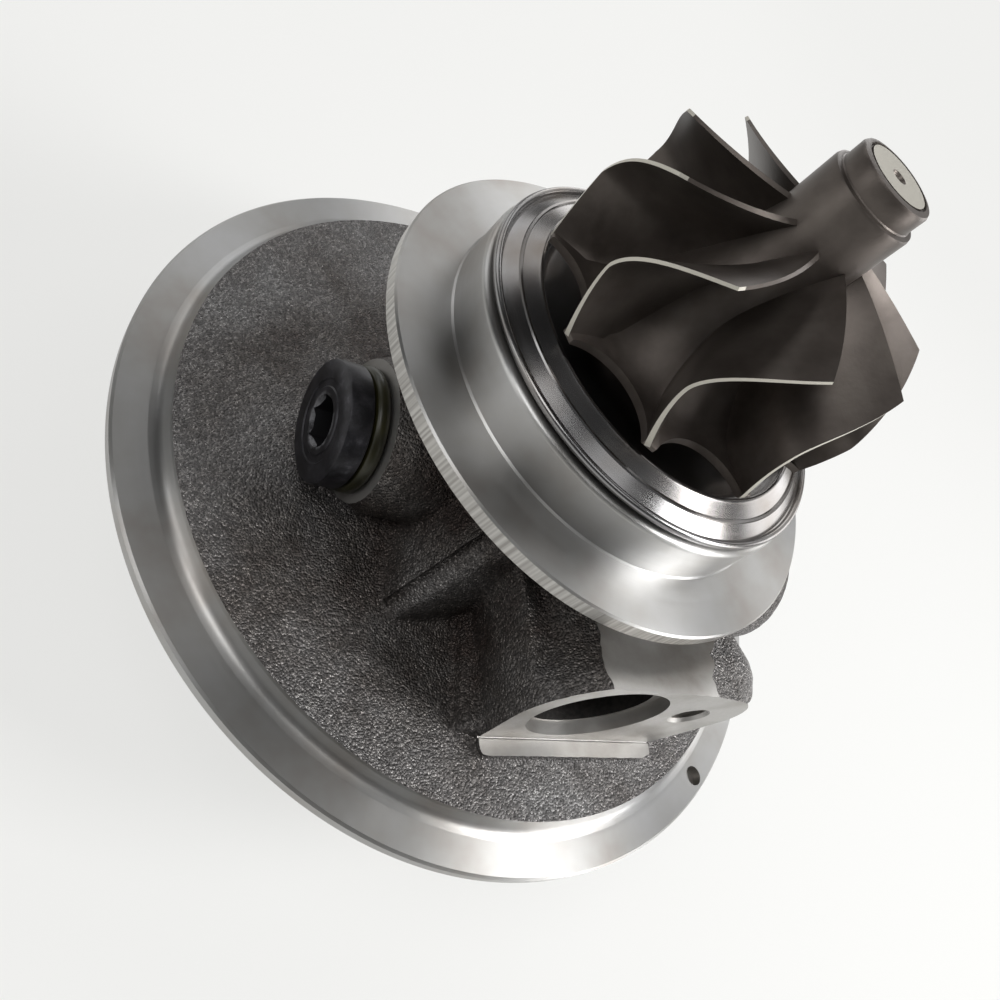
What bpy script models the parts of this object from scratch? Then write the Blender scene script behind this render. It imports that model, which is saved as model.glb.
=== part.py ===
# Core cartridge of a small petrol-engine turbocharger.
# The shaft lies along Z and the turbine wheel is at +Z. The oil drain faces -Y,
# the oil inlet +Y and the two coolant ports -X and +X. The origin is on the shaft
# axis, in the plane of the seat that the compressor housing is clamped against.

import math

import bmesh
import bpy
from mathutils import Matrix, Vector

# All sizes below are in millimetres, and the meshes are made in metres.
MM = 0.001

# Clearances
SEAT = 0.3              # between pieces that are seated on each other
RUN_JOURNAL = 0.1       # shaft in bush, radial
RUN_BUSH = 0.15         # bush in housing, radial
RUN_SEAL = 0.3          # rotor in its seal bores, radial
RUN_THRUST = 0.25       # collar and washer to thrust bearing, axial
RUN_BACK = 0.7          # compressor wheel to seal plate, axial

# Number of flats that stand for a full turn
BIG = 54
MIDDLE = 30
SMALL = 20

# Disc of the bearing housing, which closes the compressor housing
DISC_R = 57.5
DISC_RIM_T = 2.2
PILOT_R = 52.0
PILOT_H = 3.0
MACHINED_RING_R = 50.7
WEB_RISE = 2.0
LOCATING_HOLE_R = 1.5
LOCATING_HOLE_DEPTH = 1.5
LOCATING_PITCH_R = 55.2
LOCATING_ANGLE = -53.0

# Neck, turbine flange and spigot of the bearing housing
NECK_R = 22.0
FLANGE_R = 35.2
FLANGE_EDGE_T = 2.35
FLANGE_FRONT_Z = 33.55
FLANGE_CONE_R = 27.0
FLANGE_CONE_RISE = 2.6
CAST_STOCK = 0.5
SPIGOT_R = 27.3
SPIGOT_H = 6.8
SPIGOT_CHAMFER = 0.5
SPIGOT_LAND = 1.6
SHIELD_RECESS = 3.4
SNOUT_R = 12.5

# Oil drain flange
DRAIN_FACE_Y = 40.15
DRAIN_Z = 17.7
DRAIN_HOLE_R = 9.3
DRAIN_MOUTH_DEPTH = 1.6
DRAIN_THROAT_R = 8.0
DRAIN_THROAT_Z = 16.7
DRAIN_WALL = 2.7
DRAIN_FLANGE_T = 2.2
DRAIN_FLARE = 3.0
DRAIN_NECK_R = 9.4
DRAIN_NECK_SIDE = 11.3
DRAIN_BOLT_X = 15.0
DRAIN_BOLT_Z = 19.5
DRAIN_BOLT_R = 2.5
DRAIN_BOLT_DEPTH = 12.0
DRAIN_BOLT_WALL = 5.5
DRAIN_LOBE_SHIFT = 0.9
DRAIN_FOOT_LEFT = 9.7
DRAIN_FOOT_RIGHT = 18.7
DRAIN_PAD_H = 2.4
DRAIN_PAD_T = 1.2

# Corner block between the plugged port and the drain: (x, y) of its foot, (x, y, z) of its top
BLOCK_FOOT = ((-21.5, -9.0), (-21.7, -14.7), (-22.5, -22.2), (-21.4, -24.6), (-4.0, -22.2))
BLOCK_TOP = ((-18.2, -12.6, 17.5), (-18.1, -19.8, 21.0), (-16.3, -22.0, 21.0), (-4.0, -21.5, 20.0))
BLOCK_INSIDE = ((-14.0, -9.0, 20.0), (-12.0, -13.0, 26.0))
BLOCK_FOOT_H = 3.0

# Coolant ports: the one at -X is plugged and the one at +X is open
PLUG_PORT_FACE = 29.3
PLUG_PORT_Y = -2.8
PLUG_PORT_Z = 14.2
PLUG_BOSS_R = 10.8
OPEN_PORT_FACE = 36.5
OPEN_PORT_Y = -14.0
OPEN_PORT_Z = 17.0
OPEN_BOSS_R = 11.2
PORT_HOLE_R = 6.2
PORT_CHAMFER = 1.0
PORT_DEPTH = 13.0

# Oil inlet
INLET_FACE = 31.0
INLET_BOSS_R = 9.5
INLET_HOLE_R = 4.2
INLET_DEPTH = 10.0
GALLERY_R = 1.2

# Shaft and bearings
JOURNAL_R = 4.0
STUD_R = 3.0
BUSH_WALL = 2.65
BUSH_L = 6.0
BUSH_PITCH = 17.0
CLIP_T = 0.8
CLIP_DEPTH = 0.55
CLIP_GAP_ANGLE = 50.0
THRUST_BEARING_R = 17.0
THRUST_BEARING_T = 2.0
COLLAR_R = 7.6
COLLAR_SLEEVE_R = 4.5
COLLAR_FLANGE_T = 1.9
WASHER_T = 2.2
BAFFLE_T = 0.5
SEAL_BOSS_R = 8.0
SEAL_BOSS_L = 6.5
SLINGER_W = 2.2
RING_T = 1.2
RING_DEPTH = 1.4

# Seal plate behind the compressor wheel
SEAL_PLATE_R = 25.0
SEAL_PLATE_T = 5.2
SLEEVE_R = 6.4
SLINGER_R = 9.4
SLINGER_T = 1.0
SCREW_PITCH_R = 20.0
SCREW_R = 1.7
SCREW_HEAD_R = 3.0
SCREW_HEAD_T = 1.5
SCREW_L = 9.0
SCREWS = 3
FIRST_SCREW_ANGLE = 150.0
O_RING_R = 0.85
O_GROOVE_DEPTH = 2.1

# Turbine wheel
TURBINE_BLADES = 9
TURBINE_R = 22.1
TURBINE_BACK_Z = 45.2
TURBINE_DISC_T = 1.1
TURBINE_INLET_W = 9.0
TURBINE_EXIT_R = 20.2
TURBINE_EXIT_Z = 64.2
TURBINE_HUB_R = 6.1
TURBINE_HUB_EXIT_Z = 67.3
TURBINE_NOSE_Z = 73.4
TURBINE_END_R = 5.3
TURBINE_END_L = 2.8
TURBINE_BOSS_R = 8.4
SCALLOP_BOTTOM_R = 17.1
SCALLOP_R = 7.8
BLADE_TIP_T = 0.75
BLADE_ROOT_T = 1.6
FIRST_BLADE_ANGLE = 157.0
INLET_SWEEP = -7.5
EXIT_SWEEP = 27.4
EXIT_SWEEP_POWER = 1.75

# Compressor wheel, nut and shaft end
COMPRESSOR_BLADES = 6
COMPRESSOR_R = 24.5
COMPRESSOR_DISC_T = 1.2
COMPRESSOR_L = 21.0
COMPRESSOR_TIP_W = 3.2
COMPRESSOR_EYE_R = 17.2
COMPRESSOR_EYE_DEPTH = 3.0
SPLITTER_START = 0.38
EYE_LEAN = 14.0
COMPRESSOR_HUB_R = 6.6
COMPRESSOR_WRAP = 58.0
COMPRESSOR_BLADE_T = 0.8
NUT_ACROSS_FLATS = 10.0
NUT_L = 5.5
STUD_PROUD = 3.0

# Plug of the coolant port and its sealing ring
PLUG_COLLAR_R = 8.0
PLUG_COLLAR_T = 3.2
PLUG_RING_R = 8.4
PLUG_RING_T = 1.9
PLUG_HEX_AF = 6.0
PLUG_HEX_DEPTH = 4.5
PLUG_THREAD_L = 9.0

# Heat shield
SHIELD_R = 26.9
SHIELD_T = 0.6
SHIELD_LIP_R = 21.5
SHIELD_LIP_RISE = 2.9
SHIELD_STEP_R = 23.8

# Levels along the shaft that follow from the sizes above
FACE_Z = -PILOT_H
PLATE_Z = FACE_Z + 0.1
PLATE_BACK_Z = PLATE_Z + SEAL_PLATE_T
THRUST_POCKET_Z = PLATE_BACK_Z + SEAT
BAFFLE_Z = THRUST_POCKET_Z
THRUST_Z = BAFFLE_Z + BAFFLE_T + SEAT
THRUST_FLOOR_Z = THRUST_Z + THRUST_BEARING_T + SEAT
WASHER_Z = THRUST_Z + THRUST_BEARING_T + RUN_THRUST
SHOULDER_Z = WASHER_Z + WASHER_T + SEAT
COLLAR_Z = THRUST_Z - RUN_THRUST - COLLAR_FLANGE_T
LAND_Z = SHOULDER_Z + 0.1
GROOVE_W = CLIP_T + 0.2
COMPRESSOR_BUSH_Z = LAND_Z + SEAT + GROOVE_W + 0.1
TURBINE_BUSH_Z = COMPRESSOR_BUSH_Z + BUSH_PITCH
LAND_END_Z = TURBINE_BUSH_Z + BUSH_L + GROOVE_W + 0.6
SEAL_BORE_Z = LAND_END_Z + SLINGER_W
SPIGOT_TOP_Z = FLANGE_FRONT_Z + SPIGOT_H
SNOUT_TOP_Z = SPIGOT_TOP_Z + 0.2
SEAL_BOSS_Z = LAND_END_Z + 0.5
SEAL_RING_Z = SEAL_BORE_Z + 1.2
WELD_Z = SEAL_BOSS_Z + SEAL_BOSS_L
TURBINE_END_Z = TURBINE_NOSE_Z + TURBINE_END_L
SLEEVE_SEAL_Z = PLATE_Z + 1.0
SLINGER_Z = COLLAR_Z - SEAT - SLINGER_T
O_GROOVE_Z = PLATE_Z + O_GROOVE_DEPTH
WHEEL_BACK_Z = FACE_Z - RUN_BACK
WHEEL_NOSE_Z = WHEEL_BACK_Z - COMPRESSOR_L
WHEEL_DISC_Z = WHEEL_BACK_Z - COMPRESSOR_DISC_T
WHEEL_EYE_Z = WHEEL_NOSE_Z + COMPRESSOR_EYE_DEPTH
NUT_Z = WHEEL_NOSE_Z - SEAT
STUD_END_Z = NUT_Z - NUT_L - STUD_PROUD

# Radii that follow from the sizes above
BUSH_BORE_R = JOURNAL_R + RUN_JOURNAL
BUSH_R = BUSH_BORE_R + BUSH_WALL
BEARING_BORE_R = BUSH_R + RUN_BUSH
CLIP_GROOVE_R = BEARING_BORE_R + CLIP_DEPTH + 0.1
SEAL_BORE_R = SEAL_BOSS_R + RUN_SEAL
STUD_BORE_R = STUD_R + 0.2
PLATE_POCKET_R = SEAL_PLATE_R + SEAT
THRUST_POCKET_R = THRUST_BEARING_R + SEAT
WASHER_POCKET_R = COLLAR_R + 0.9
PLATE_BORE_R = SLEEVE_R + RUN_SEAL
PLATE_CAVITY_R = SLINGER_R + 0.8
GALLERY_Z = COMPRESSOR_BUSH_Z + BUSH_L / 2
CLIP_SQUEEZE = 0.1


def clear_scene():
    for item in list(bpy.data.objects):
        bpy.data.objects.remove(item, do_unlink=True)


def material(name, colour, roughness, metallic):
    made = bpy.data.materials.new(name)
    made.use_nodes = True
    shader = made.node_tree.nodes["Principled BSDF"]
    shader.inputs["Base Color"].default_value = (*colour, 1.0)
    shader.inputs["Roughness"].default_value = roughness
    shader.inputs["Metallic"].default_value = metallic
    made.diffuse_color = (*colour, 1.0)
    return made


# Mesh making: every outline is given in millimetres
def piece(name, bm, finish=None):
    bmesh.ops.remove_doubles(bm, verts=bm.verts, dist=0.002 * MM)
    bmesh.ops.recalc_face_normals(bm, faces=bm.faces)
    mesh = bpy.data.meshes.new(name)
    bm.to_mesh(mesh)
    bm.free()
    mesh.shade_smooth()
    mesh.set_sharp_from_angle(angle=math.radians(32.0))
    made = bpy.data.objects.new(name, mesh)
    bpy.context.collection.objects.link(made)
    if finish:
        mesh.materials.append(finish)
    return made


def turned(name, outline, finish=None, flats=MIDDLE, turn=360.0, start=0.0):
    """Turn an (r, z) outline about Z. A ring's outline is closed, a solid's starts and ends on the axis."""
    bm = bmesh.new()
    swing = Matrix.Rotation(math.radians(start), 4, "Z")
    points = [bm.verts.new(swing @ Vector((r * MM, 0.0, z * MM))) for r, z in outline]
    on_axis = outline[0][0] == 0.0
    edges = [bm.edges.new(pair) for pair in zip(points, points[1:])]
    if not on_axis:
        edges.append(bm.edges.new((points[-1], points[0])))
    full = turn >= 360.0
    flats = int(flats)
    geometry = points + edges
    if not full:
        geometry = geometry + [bm.faces.new(points)]
    bmesh.ops.spin(
        bm, geom=geometry, cent=(0, 0, 0), axis=(0, 0, 1), angle=math.radians(turn),
        steps=flats, use_merge=full, use_duplicate=False,
    )
    return piece(name, bm, finish)


def bar(name, start, end, profile, finish=None, flats=SMALL):
    """A bar turned about a line. The profile lists (distance from the start, radius) pairs."""
    low, high = Vector(start) * MM, Vector(end) * MM
    along = (high - low).normalized()
    turn = along.to_track_quat("Z", "Y").to_matrix()
    bm = bmesh.new()
    flats = int(flats)
    rings = []
    for distance, radius in profile:
        ring = []
        for step in range(flats):
            angle = 2 * math.pi * step / flats
            spoke = Vector((radius * math.cos(angle), radius * math.sin(angle), distance)) * MM
            ring.append(bm.verts.new(low + turn @ spoke))
        rings.append(ring)
    for near, far in zip(rings, rings[1:]):
        for step in range(flats):
            after = (step + 1) % flats
            bm.faces.new((near[step], near[after], far[after], far[step]))
    bm.faces.new(rings[0])
    bm.faces.new(rings[-1])
    return piece(name, bm, finish)


def rod(name, start, end, radius, finish=None, flats=SMALL):
    """A plain round bar between two points."""
    length = (Vector(end) - Vector(start)).length
    return bar(name, start, end, [(0.0, radius), (length, radius)], finish, flats)


def hull(name, points, finish=None):
    """The tight skin round a set of points, for drafted cast forms."""
    bm = bmesh.new()
    for point in points:
        bm.verts.new(Vector(point) * MM)
    found = bmesh.ops.convex_hull(bm, input=bm.verts)
    inside = [item for item in found["geom_interior"] if isinstance(item, bmesh.types.BMVert)]
    bmesh.ops.delete(bm, geom=inside, context="VERTS")
    bmesh.ops.dissolve_limit(bm, angle_limit=math.radians(1.0), verts=bm.verts, edges=bm.edges)
    return piece(name, bm, finish)


def combine(target, tool, operation):
    step = target.modifiers.new(operation.lower(), "BOOLEAN")
    step.operation = operation
    step.solver = "EXACT"
    step.object = tool
    bpy.context.view_layer.objects.active = target
    bpy.ops.object.modifier_apply(modifier=step.name)
    bpy.data.objects.remove(tool, do_unlink=True)
    target.data.shade_smooth()
    target.data.set_sharp_from_angle(angle=math.radians(32.0))


def join(target, tool):
    combine(target, tool, "UNION")


def cut(target, tool):
    combine(target, tool, "DIFFERENCE")


def circle(x, z, radius, count=16):
    """Points round a circle in the plane that the drain flange is drawn in."""
    turns = [2 * math.pi * step / count for step in range(count)]
    return [(x + radius * math.cos(turn), z + radius * math.sin(turn)) for turn in turns]


# Bearing housing: one iron casting with turned and drilled faces
def housing_outline():
    web_z = DISC_RIM_T + WEB_RISE
    edge_z = FLANGE_FRONT_Z - FLANGE_EDGE_T
    root_z = edge_z - FLANGE_CONE_RISE - CAST_STOCK
    return [
        (0.0, FACE_Z),
        (PILOT_R - 0.5, FACE_Z),
        (PILOT_R, FACE_Z + 0.5),
        (PILOT_R, 0.0),
        (DISC_R - 0.3, 0.0),
        (DISC_R, 0.3),
        (DISC_R, DISC_RIM_T - 0.3),
        (DISC_R - 0.3, DISC_RIM_T),
        (MACHINED_RING_R + 1.4, DISC_RIM_T),
        (MACHINED_RING_R + 0.4, DISC_RIM_T + 0.5),
        (MACHINED_RING_R, web_z),
        (MACHINED_RING_R - 1.0, web_z + 0.5),
        (NECK_R + 12.0, web_z + 0.8),
        (NECK_R + 6.5, web_z + 1.2),
        (NECK_R + 2.5, web_z + 3.4),
        (NECK_R, web_z + 8.5),
        (NECK_R, root_z - 3.5),
        (NECK_R + 1.2, root_z - 1.2),
        (FLANGE_CONE_R - 1.0, root_z),
        (FLANGE_R, edge_z - CAST_STOCK),
        (FLANGE_R, FLANGE_FRONT_Z - 0.3),
        (FLANGE_R - 0.3, FLANGE_FRONT_Z),
        (SPIGOT_R + 0.4, FLANGE_FRONT_Z),
        (SPIGOT_R, FLANGE_FRONT_Z + 0.4),
        (SPIGOT_R, SPIGOT_TOP_Z - SPIGOT_CHAMFER),
        (SPIGOT_R - SPIGOT_CHAMFER, SPIGOT_TOP_Z),
        (SPIGOT_R - SPIGOT_CHAMFER - SPIGOT_LAND, SPIGOT_TOP_Z),
        (SPIGOT_R - SPIGOT_CHAMFER - SPIGOT_LAND, SPIGOT_TOP_Z - SHIELD_RECESS),
        (SNOUT_R, SPIGOT_TOP_Z - SHIELD_RECESS),
        (SNOUT_R, SNOUT_TOP_Z),
        (0.0, SNOUT_TOP_Z),
    ]


def bore_outline():
    """The stepped bore from the compressor side to the turbine side, with its four clip grooves."""
    outline = [
        (0.0, FACE_Z - 1.0),
        (PLATE_POCKET_R, FACE_Z - 1.0),
        (PLATE_POCKET_R, THRUST_POCKET_Z),
        (THRUST_POCKET_R, THRUST_POCKET_Z),
        (THRUST_POCKET_R, THRUST_FLOOR_Z),
        (WASHER_POCKET_R, THRUST_FLOOR_Z),
        (WASHER_POCKET_R, LAND_Z),
        (BEARING_BORE_R, LAND_Z),
    ]
    for groove_z in clip_grooves():
        outline += [
            (BEARING_BORE_R, groove_z),
            (CLIP_GROOVE_R, groove_z),
            (CLIP_GROOVE_R, groove_z + GROOVE_W),
            (BEARING_BORE_R, groove_z + GROOVE_W),
        ]
    return outline + [
        (BEARING_BORE_R, LAND_END_Z),
        (SEAL_BORE_R + 2.2, LAND_END_Z),
        (SEAL_BORE_R + 2.2, SEAL_BORE_Z),
        (SEAL_BORE_R, SEAL_BORE_Z),
        (SEAL_BORE_R, SNOUT_TOP_Z + 1.0),
        (0.0, SNOUT_TOP_Z + 1.0),
    ]


def clip_grooves():
    """Lower end of each clip groove, from the compressor side up."""
    levels = []
    for bush_z in (COMPRESSOR_BUSH_Z, TURBINE_BUSH_Z):
        levels.append(bush_z - 0.1 - GROOVE_W)
        levels.append(bush_z + BUSH_L + 0.1)
    return levels


def drain_flange():
    """The flange of the drain, with the lobe of its bolt, flaring down to the neck behind it."""
    back = -DRAIN_FACE_Y + DRAIN_FLANGE_T
    shrink = DRAIN_HOLE_R + DRAIN_WALL - DRAIN_NECK_R
    points = []
    for y, less in ((-DRAIN_FACE_Y, 0.0), (back, 0.0), (back + DRAIN_FLARE, shrink)):
        outline = circle(0.0, DRAIN_Z, DRAIN_HOLE_R + DRAIN_WALL - less, 24)
        outline += circle(DRAIN_BOLT_X, DRAIN_BOLT_Z, DRAIN_BOLT_R + DRAIN_BOLT_WALL - 0.3 * less)
        outline += [(-DRAIN_FOOT_LEFT, DISC_RIM_T), (DRAIN_FOOT_RIGHT, DISC_RIM_T)]
        points += [(x, y, z) for x, z in outline]
    return hull("drain_flange", points)


def drain_neck():
    """The drafted neck between the flange and the body: straight at its side, round above."""
    outline = circle(0.0, DRAIN_Z, DRAIN_NECK_R, 24)
    outline += circle(DRAIN_BOLT_X + DRAIN_LOBE_SHIFT, DRAIN_BOLT_Z, DRAIN_BOLT_R + DRAIN_BOLT_WALL)
    outline += [(-DRAIN_NECK_SIDE, DRAIN_Z - 3.5), (-DRAIN_NECK_SIDE, DRAIN_Z + 2.8)]
    outline += [(-DRAIN_FOOT_LEFT, DISC_RIM_T), (DRAIN_FOOT_RIGHT, DISC_RIM_T)]
    near, far = -DRAIN_FACE_Y + DRAIN_FLANGE_T + 0.5, -BEARING_BORE_R - 5.0
    return hull("drain_neck", [(x, y, z) for x, z in outline for y in (near, far)])


def drain_pad():
    """The low milled step where the foot of the drain flange runs out on the disc."""
    top = DISC_RIM_T + WEB_RISE + 0.5 + DRAIN_PAD_T
    points = []
    for x in (-DRAIN_FOOT_LEFT, DRAIN_FOOT_RIGHT):
        for y in (-DRAIN_FACE_Y + 3.0, -DRAIN_FACE_Y - DRAIN_PAD_H):
            points += [(x, y, DISC_RIM_T), (x, y, top)]
    return hull("drain_pad", points)


def corner_block():
    """The drafted cast block in the corner between the plugged port and the drain."""
    points = [(x, y, DISC_RIM_T + rise) for x, y in BLOCK_FOOT for rise in (0.0, BLOCK_FOOT_H)]
    return hull("corner_block", points + list(BLOCK_TOP + BLOCK_INSIDE))


def clamp_relief():
    """The turned hollow under the turbine flange, which leaves room for its clamp."""
    edge_z = FLANGE_FRONT_Z - FLANGE_EDGE_T
    slope = FLANGE_CONE_RISE / (FLANGE_R - FLANGE_CONE_R)
    outer_r = FLANGE_R + 2.0
    outline = [
        (FLANGE_CONE_R, edge_z - FLANGE_CONE_RISE),
        (outer_r, edge_z + slope * (outer_r - FLANGE_R)),
        (outer_r + 16.0, edge_z + 2.0),
        (outer_r + 16.0, edge_z - 3.6),
        (outer_r + 6.0, edge_z - 3.5),
        (outer_r + 3.1, edge_z - 3.2),
        (outer_r + 1.0, edge_z - 3.7),
        (outer_r - 1.5, edge_z - 4.6),
        (outer_r - 4.5, edge_z - 5.4),
        (outer_r - 7.0, edge_z - 5.5),
        (outer_r - 9.0, edge_z - 4.6),
    ]
    return turned("clamp_relief", outline, flats=BIG, start=2.0)


def bearing_housing(finish):
    body = turned("bearing_housing", housing_outline(), finish, flats=BIG)
    join(body, drain_neck())
    join(body, drain_flange())
    join(body, drain_pad())
    join(body, corner_block())
    plug_axis = (PLUG_PORT_Y, PLUG_PORT_Z)
    open_axis = (OPEN_PORT_Y, OPEN_PORT_Z)
    join(body, rod("plug_boss", (-12.0, *plug_axis), (-PLUG_PORT_FACE, *plug_axis), PLUG_BOSS_R))
    join(body, rod("open_boss", (8.0, *open_axis), (OPEN_PORT_FACE, *open_axis), OPEN_BOSS_R))
    join(body, rod("inlet_boss", (0, 15.0, GALLERY_Z), (0, INLET_FACE, GALLERY_Z), INLET_BOSS_R))
    cut(body, clamp_relief())
    cut(body, turned("bore", bore_outline(), flats=MIDDLE, start=6.0))
    cut_oil_ways(body)
    cut_coolant_ways(body)
    turn = math.radians(LOCATING_ANGLE)
    x, y = LOCATING_PITCH_R * math.cos(turn), LOCATING_PITCH_R * math.sin(turn)
    top = (x, y, DISC_RIM_T + 1.0)
    cut(body, rod("locating_hole", (x, y, DISC_RIM_T - LOCATING_HOLE_DEPTH), top, LOCATING_HOLE_R, flats=16))
    for number in range(SCREWS):
        x, y = screw_place(number)
        bottom = THRUST_POCKET_Z + SCREW_L - SEAL_PLATE_T + 1.5
        cut(body, rod("screw_hole", (x, y, FACE_Z - 1), (x, y, bottom), SCREW_R + 0.15, flats=12))
    return body


def cut_oil_ways(body):
    seat_y = -DRAIN_FACE_Y + DRAIN_MOUTH_DEPTH
    cut(body, rod("drain_mouth", (0, seat_y, DRAIN_Z), (0, -DRAIN_FACE_Y - 5.0, DRAIN_Z), DRAIN_HOLE_R, flats=32))
    inner = (0, -BEARING_BORE_R - 4.5, DRAIN_THROAT_Z)
    cut(body, rod("drain_throat", inner, (0, seat_y - 0.5, DRAIN_THROAT_Z), DRAIN_THROAT_R, flats=24))
    bolt = (DRAIN_BOLT_X, -DRAIN_FACE_Y + DRAIN_BOLT_DEPTH, DRAIN_BOLT_Z)
    mouth = (DRAIN_BOLT_X, -DRAIN_FACE_Y - 5.0, DRAIN_BOLT_Z)
    cut(body, rod("drain_bolt_hole", bolt, mouth, DRAIN_BOLT_R, flats=18))
    low = clip_grooves()[1] + GROOVE_W + 0.8
    high = clip_grooves()[2] - 0.8
    window = turned("window", [(1.0, low), (13.0, low), (13.0, high), (1.0, high)], flats=12, turn=84, start=228)
    cut(body, window)
    for x in (-5.5, 5.5):
        top = (x, -BEARING_BORE_R - 1.6, SEAL_BORE_Z - 0.6)
        foot = (x, -BEARING_BORE_R - 8.0, DRAIN_Z)
        cut(body, rod("slinger_drain", foot, top, 1.5, flats=10))
    foot = (0, -12.5, DRAIN_Z)
    cut(body, rod("thrust_drain", foot, (0, -12.5, THRUST_FLOOR_Z - 0.5), 3.0, flats=12))
    inlet_y, bush_y = INLET_FACE - INLET_DEPTH, BEARING_BORE_R - 1.0
    cut(body, rod("oil_inlet", (0, INLET_FACE + 2, GALLERY_Z), (0, inlet_y, GALLERY_Z), INLET_HOLE_R))
    cut(body, rod("feed", (0, inlet_y + 1, GALLERY_Z), (0, bush_y, GALLERY_Z), GALLERY_R + 0.4, flats=10))
    gallery_y = BEARING_BORE_R + 3.6
    high = GALLERY_Z + BUSH_PITCH
    cut(body, rod("gallery", (0, gallery_y, GALLERY_Z - 0.3), (0, gallery_y, high + 0.5), GALLERY_R, flats=10))
    cut(body, rod("turbine_feed", (0, gallery_y + 0.5, high), (0, bush_y, high), 0.9, flats=8))
    thrust_y = 14.5
    foot = (0, thrust_y, THRUST_FLOOR_Z - 1)
    cut(body, rod("thrust_feed", (0, thrust_y, GALLERY_Z + 0.3), foot, GALLERY_R - 0.2, flats=10))


def cut_coolant_ways(body):
    inner = BEARING_BORE_R + 3.6 + GALLERY_R + 1.6
    outer = NECK_R - 3.2
    low, high = GALLERY_Z + GALLERY_R + 2.5, LAND_END_Z - 3.5
    jacket = [(inner, low), (outer, low), (outer, high), (inner, high)]
    cut(body, turned("jacket", jacket, flats=26, turn=234.0, start=-38.0))
    ports = (
        (-PLUG_PORT_FACE, PLUG_PORT_Y, PLUG_PORT_Z, PORT_DEPTH),
        (OPEN_PORT_FACE, OPEN_PORT_Y, OPEN_PORT_Z, PORT_DEPTH + 9.0),
    )
    for face, y, z, depth in ports:
        side = math.copysign(1.0, face)
        mouth = (face + side, y, z)
        wide = PORT_HOLE_R + PORT_CHAMFER + 1.0
        profile = [(0.0, wide), (PORT_CHAMFER + 1.0, PORT_HOLE_R), (depth, PORT_HOLE_R)]
        cut(body, bar("port", mouth, (face - side * depth, y, z), profile, flats=24))


# Cold side: seal plate with its ring, and the screws that hold it
def screw_place(number):
    turn = math.radians(FIRST_SCREW_ANGLE + 360.0 * number / SCREWS)
    return SCREW_PITCH_R * math.cos(turn), SCREW_PITCH_R * math.sin(turn)


def seal_plate(finish):
    groove_high = O_GROOVE_Z + 2 * O_RING_R + 0.5
    groove_r = SEAL_PLATE_R - 2 * O_RING_R - 0.1
    cavity_z = SLINGER_Z - 0.4
    outline = [
        (PLATE_BORE_R, PLATE_Z),
        (SEAL_PLATE_R, PLATE_Z),
        (SEAL_PLATE_R, O_GROOVE_Z),
        (groove_r, O_GROOVE_Z),
        (groove_r, groove_high),
        (SEAL_PLATE_R, groove_high),
        (SEAL_PLATE_R, PLATE_BACK_Z),
        (PLATE_CAVITY_R, PLATE_BACK_Z),
        (PLATE_CAVITY_R, cavity_z),
        (PLATE_BORE_R, cavity_z),
    ]
    plate = turned("seal_plate", outline, finish)
    for number in range(SCREWS):
        x, y = screw_place(number)
        head_z = PLATE_Z + SCREW_HEAD_T + 0.3
        cut(plate, rod("hole", (x, y, PLATE_Z - 1), (x, y, PLATE_BACK_Z + 1), SCREW_R + 0.25, flats=12))
        cut(plate, rod("seat", (x, y, PLATE_Z - 1), (x, y, head_z), SCREW_HEAD_R + 0.3, flats=20))
    return plate


def seal_plate_screw(number, finish):
    x, y = screw_place(number)
    low = PLATE_Z + 0.1
    head = [(0.0, SCREW_HEAD_R - 0.3), (0.3, SCREW_HEAD_R), (SCREW_HEAD_T, SCREW_HEAD_R)]
    shank = [(SCREW_HEAD_T, SCREW_R), (SCREW_L, SCREW_R)]
    name = f"seal_plate_screw_{number + 1}"
    screw = bar(name, (x, y, low), (x, y, low + SCREW_L), head + shank, finish, flats=12)
    cut(screw, rod("socket", (x, y, low - 1), (x, y, low + 0.9), 1.5, flats=6))
    return screw


def o_ring(finish):
    centre_r = SEAL_PLATE_R + SEAT - 0.15 - O_RING_R
    centre_z = O_GROOVE_Z + O_RING_R + 0.25
    turns = [2 * math.pi * step / 6 for step in range(6)]
    outline = [(centre_r + O_RING_R * math.cos(a), centre_z + O_RING_R * math.sin(a)) for a in turns]
    return turned("seal_plate_o_ring", outline, finish)


# Bearings and seals
def split_ring(name, inner, outer, low, high, gap, finish, flats=SMALL):
    outline = [(inner, low), (outer, low), (outer, high), (inner, high)]
    return turned(name, outline, finish, flats=flats, turn=360.0 - gap, start=90.0 + gap / 2)


def bush_clips(finish):
    names = (
        "compressor_bush_outer_circlip",
        "compressor_bush_inner_circlip",
        "turbine_bush_inner_circlip",
        "turbine_bush_outer_circlip",
    )
    inner = BUSH_BORE_R + 0.9
    outer = CLIP_GROOVE_R - CLIP_SQUEEZE
    for name, groove_z in zip(names, clip_grooves()):
        low = groove_z + 0.1
        split_ring(name, inner, outer, low, low + CLIP_T, CLIP_GAP_ANGLE, finish, flats=20)


def journal_bush(name, low, finish):
    high = low + BUSH_L
    outline = [
        (BUSH_BORE_R, low + 0.3),
        (BUSH_BORE_R + 0.3, low),
        (BUSH_R - 0.3, low),
        (BUSH_R, low + 0.3),
        (BUSH_R, high - 0.3),
        (BUSH_R - 0.3, high),
        (BUSH_BORE_R + 0.3, high),
        (BUSH_BORE_R, high - 0.3),
    ]
    bush = turned(name, outline, finish, flats=SMALL)
    middle = (low + high) / 2
    for turn in (0.0, 60.0, 120.0):
        reach = Matrix.Rotation(math.radians(turn), 4, "Z") @ Vector((BUSH_R + 1.0, 0.0, 0.0))
        ends = ((reach.x, reach.y, middle), (-reach.x, -reach.y, middle))
        cut(bush, rod("oil_hole", *ends, 0.9, flats=8))
    return bush


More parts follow.
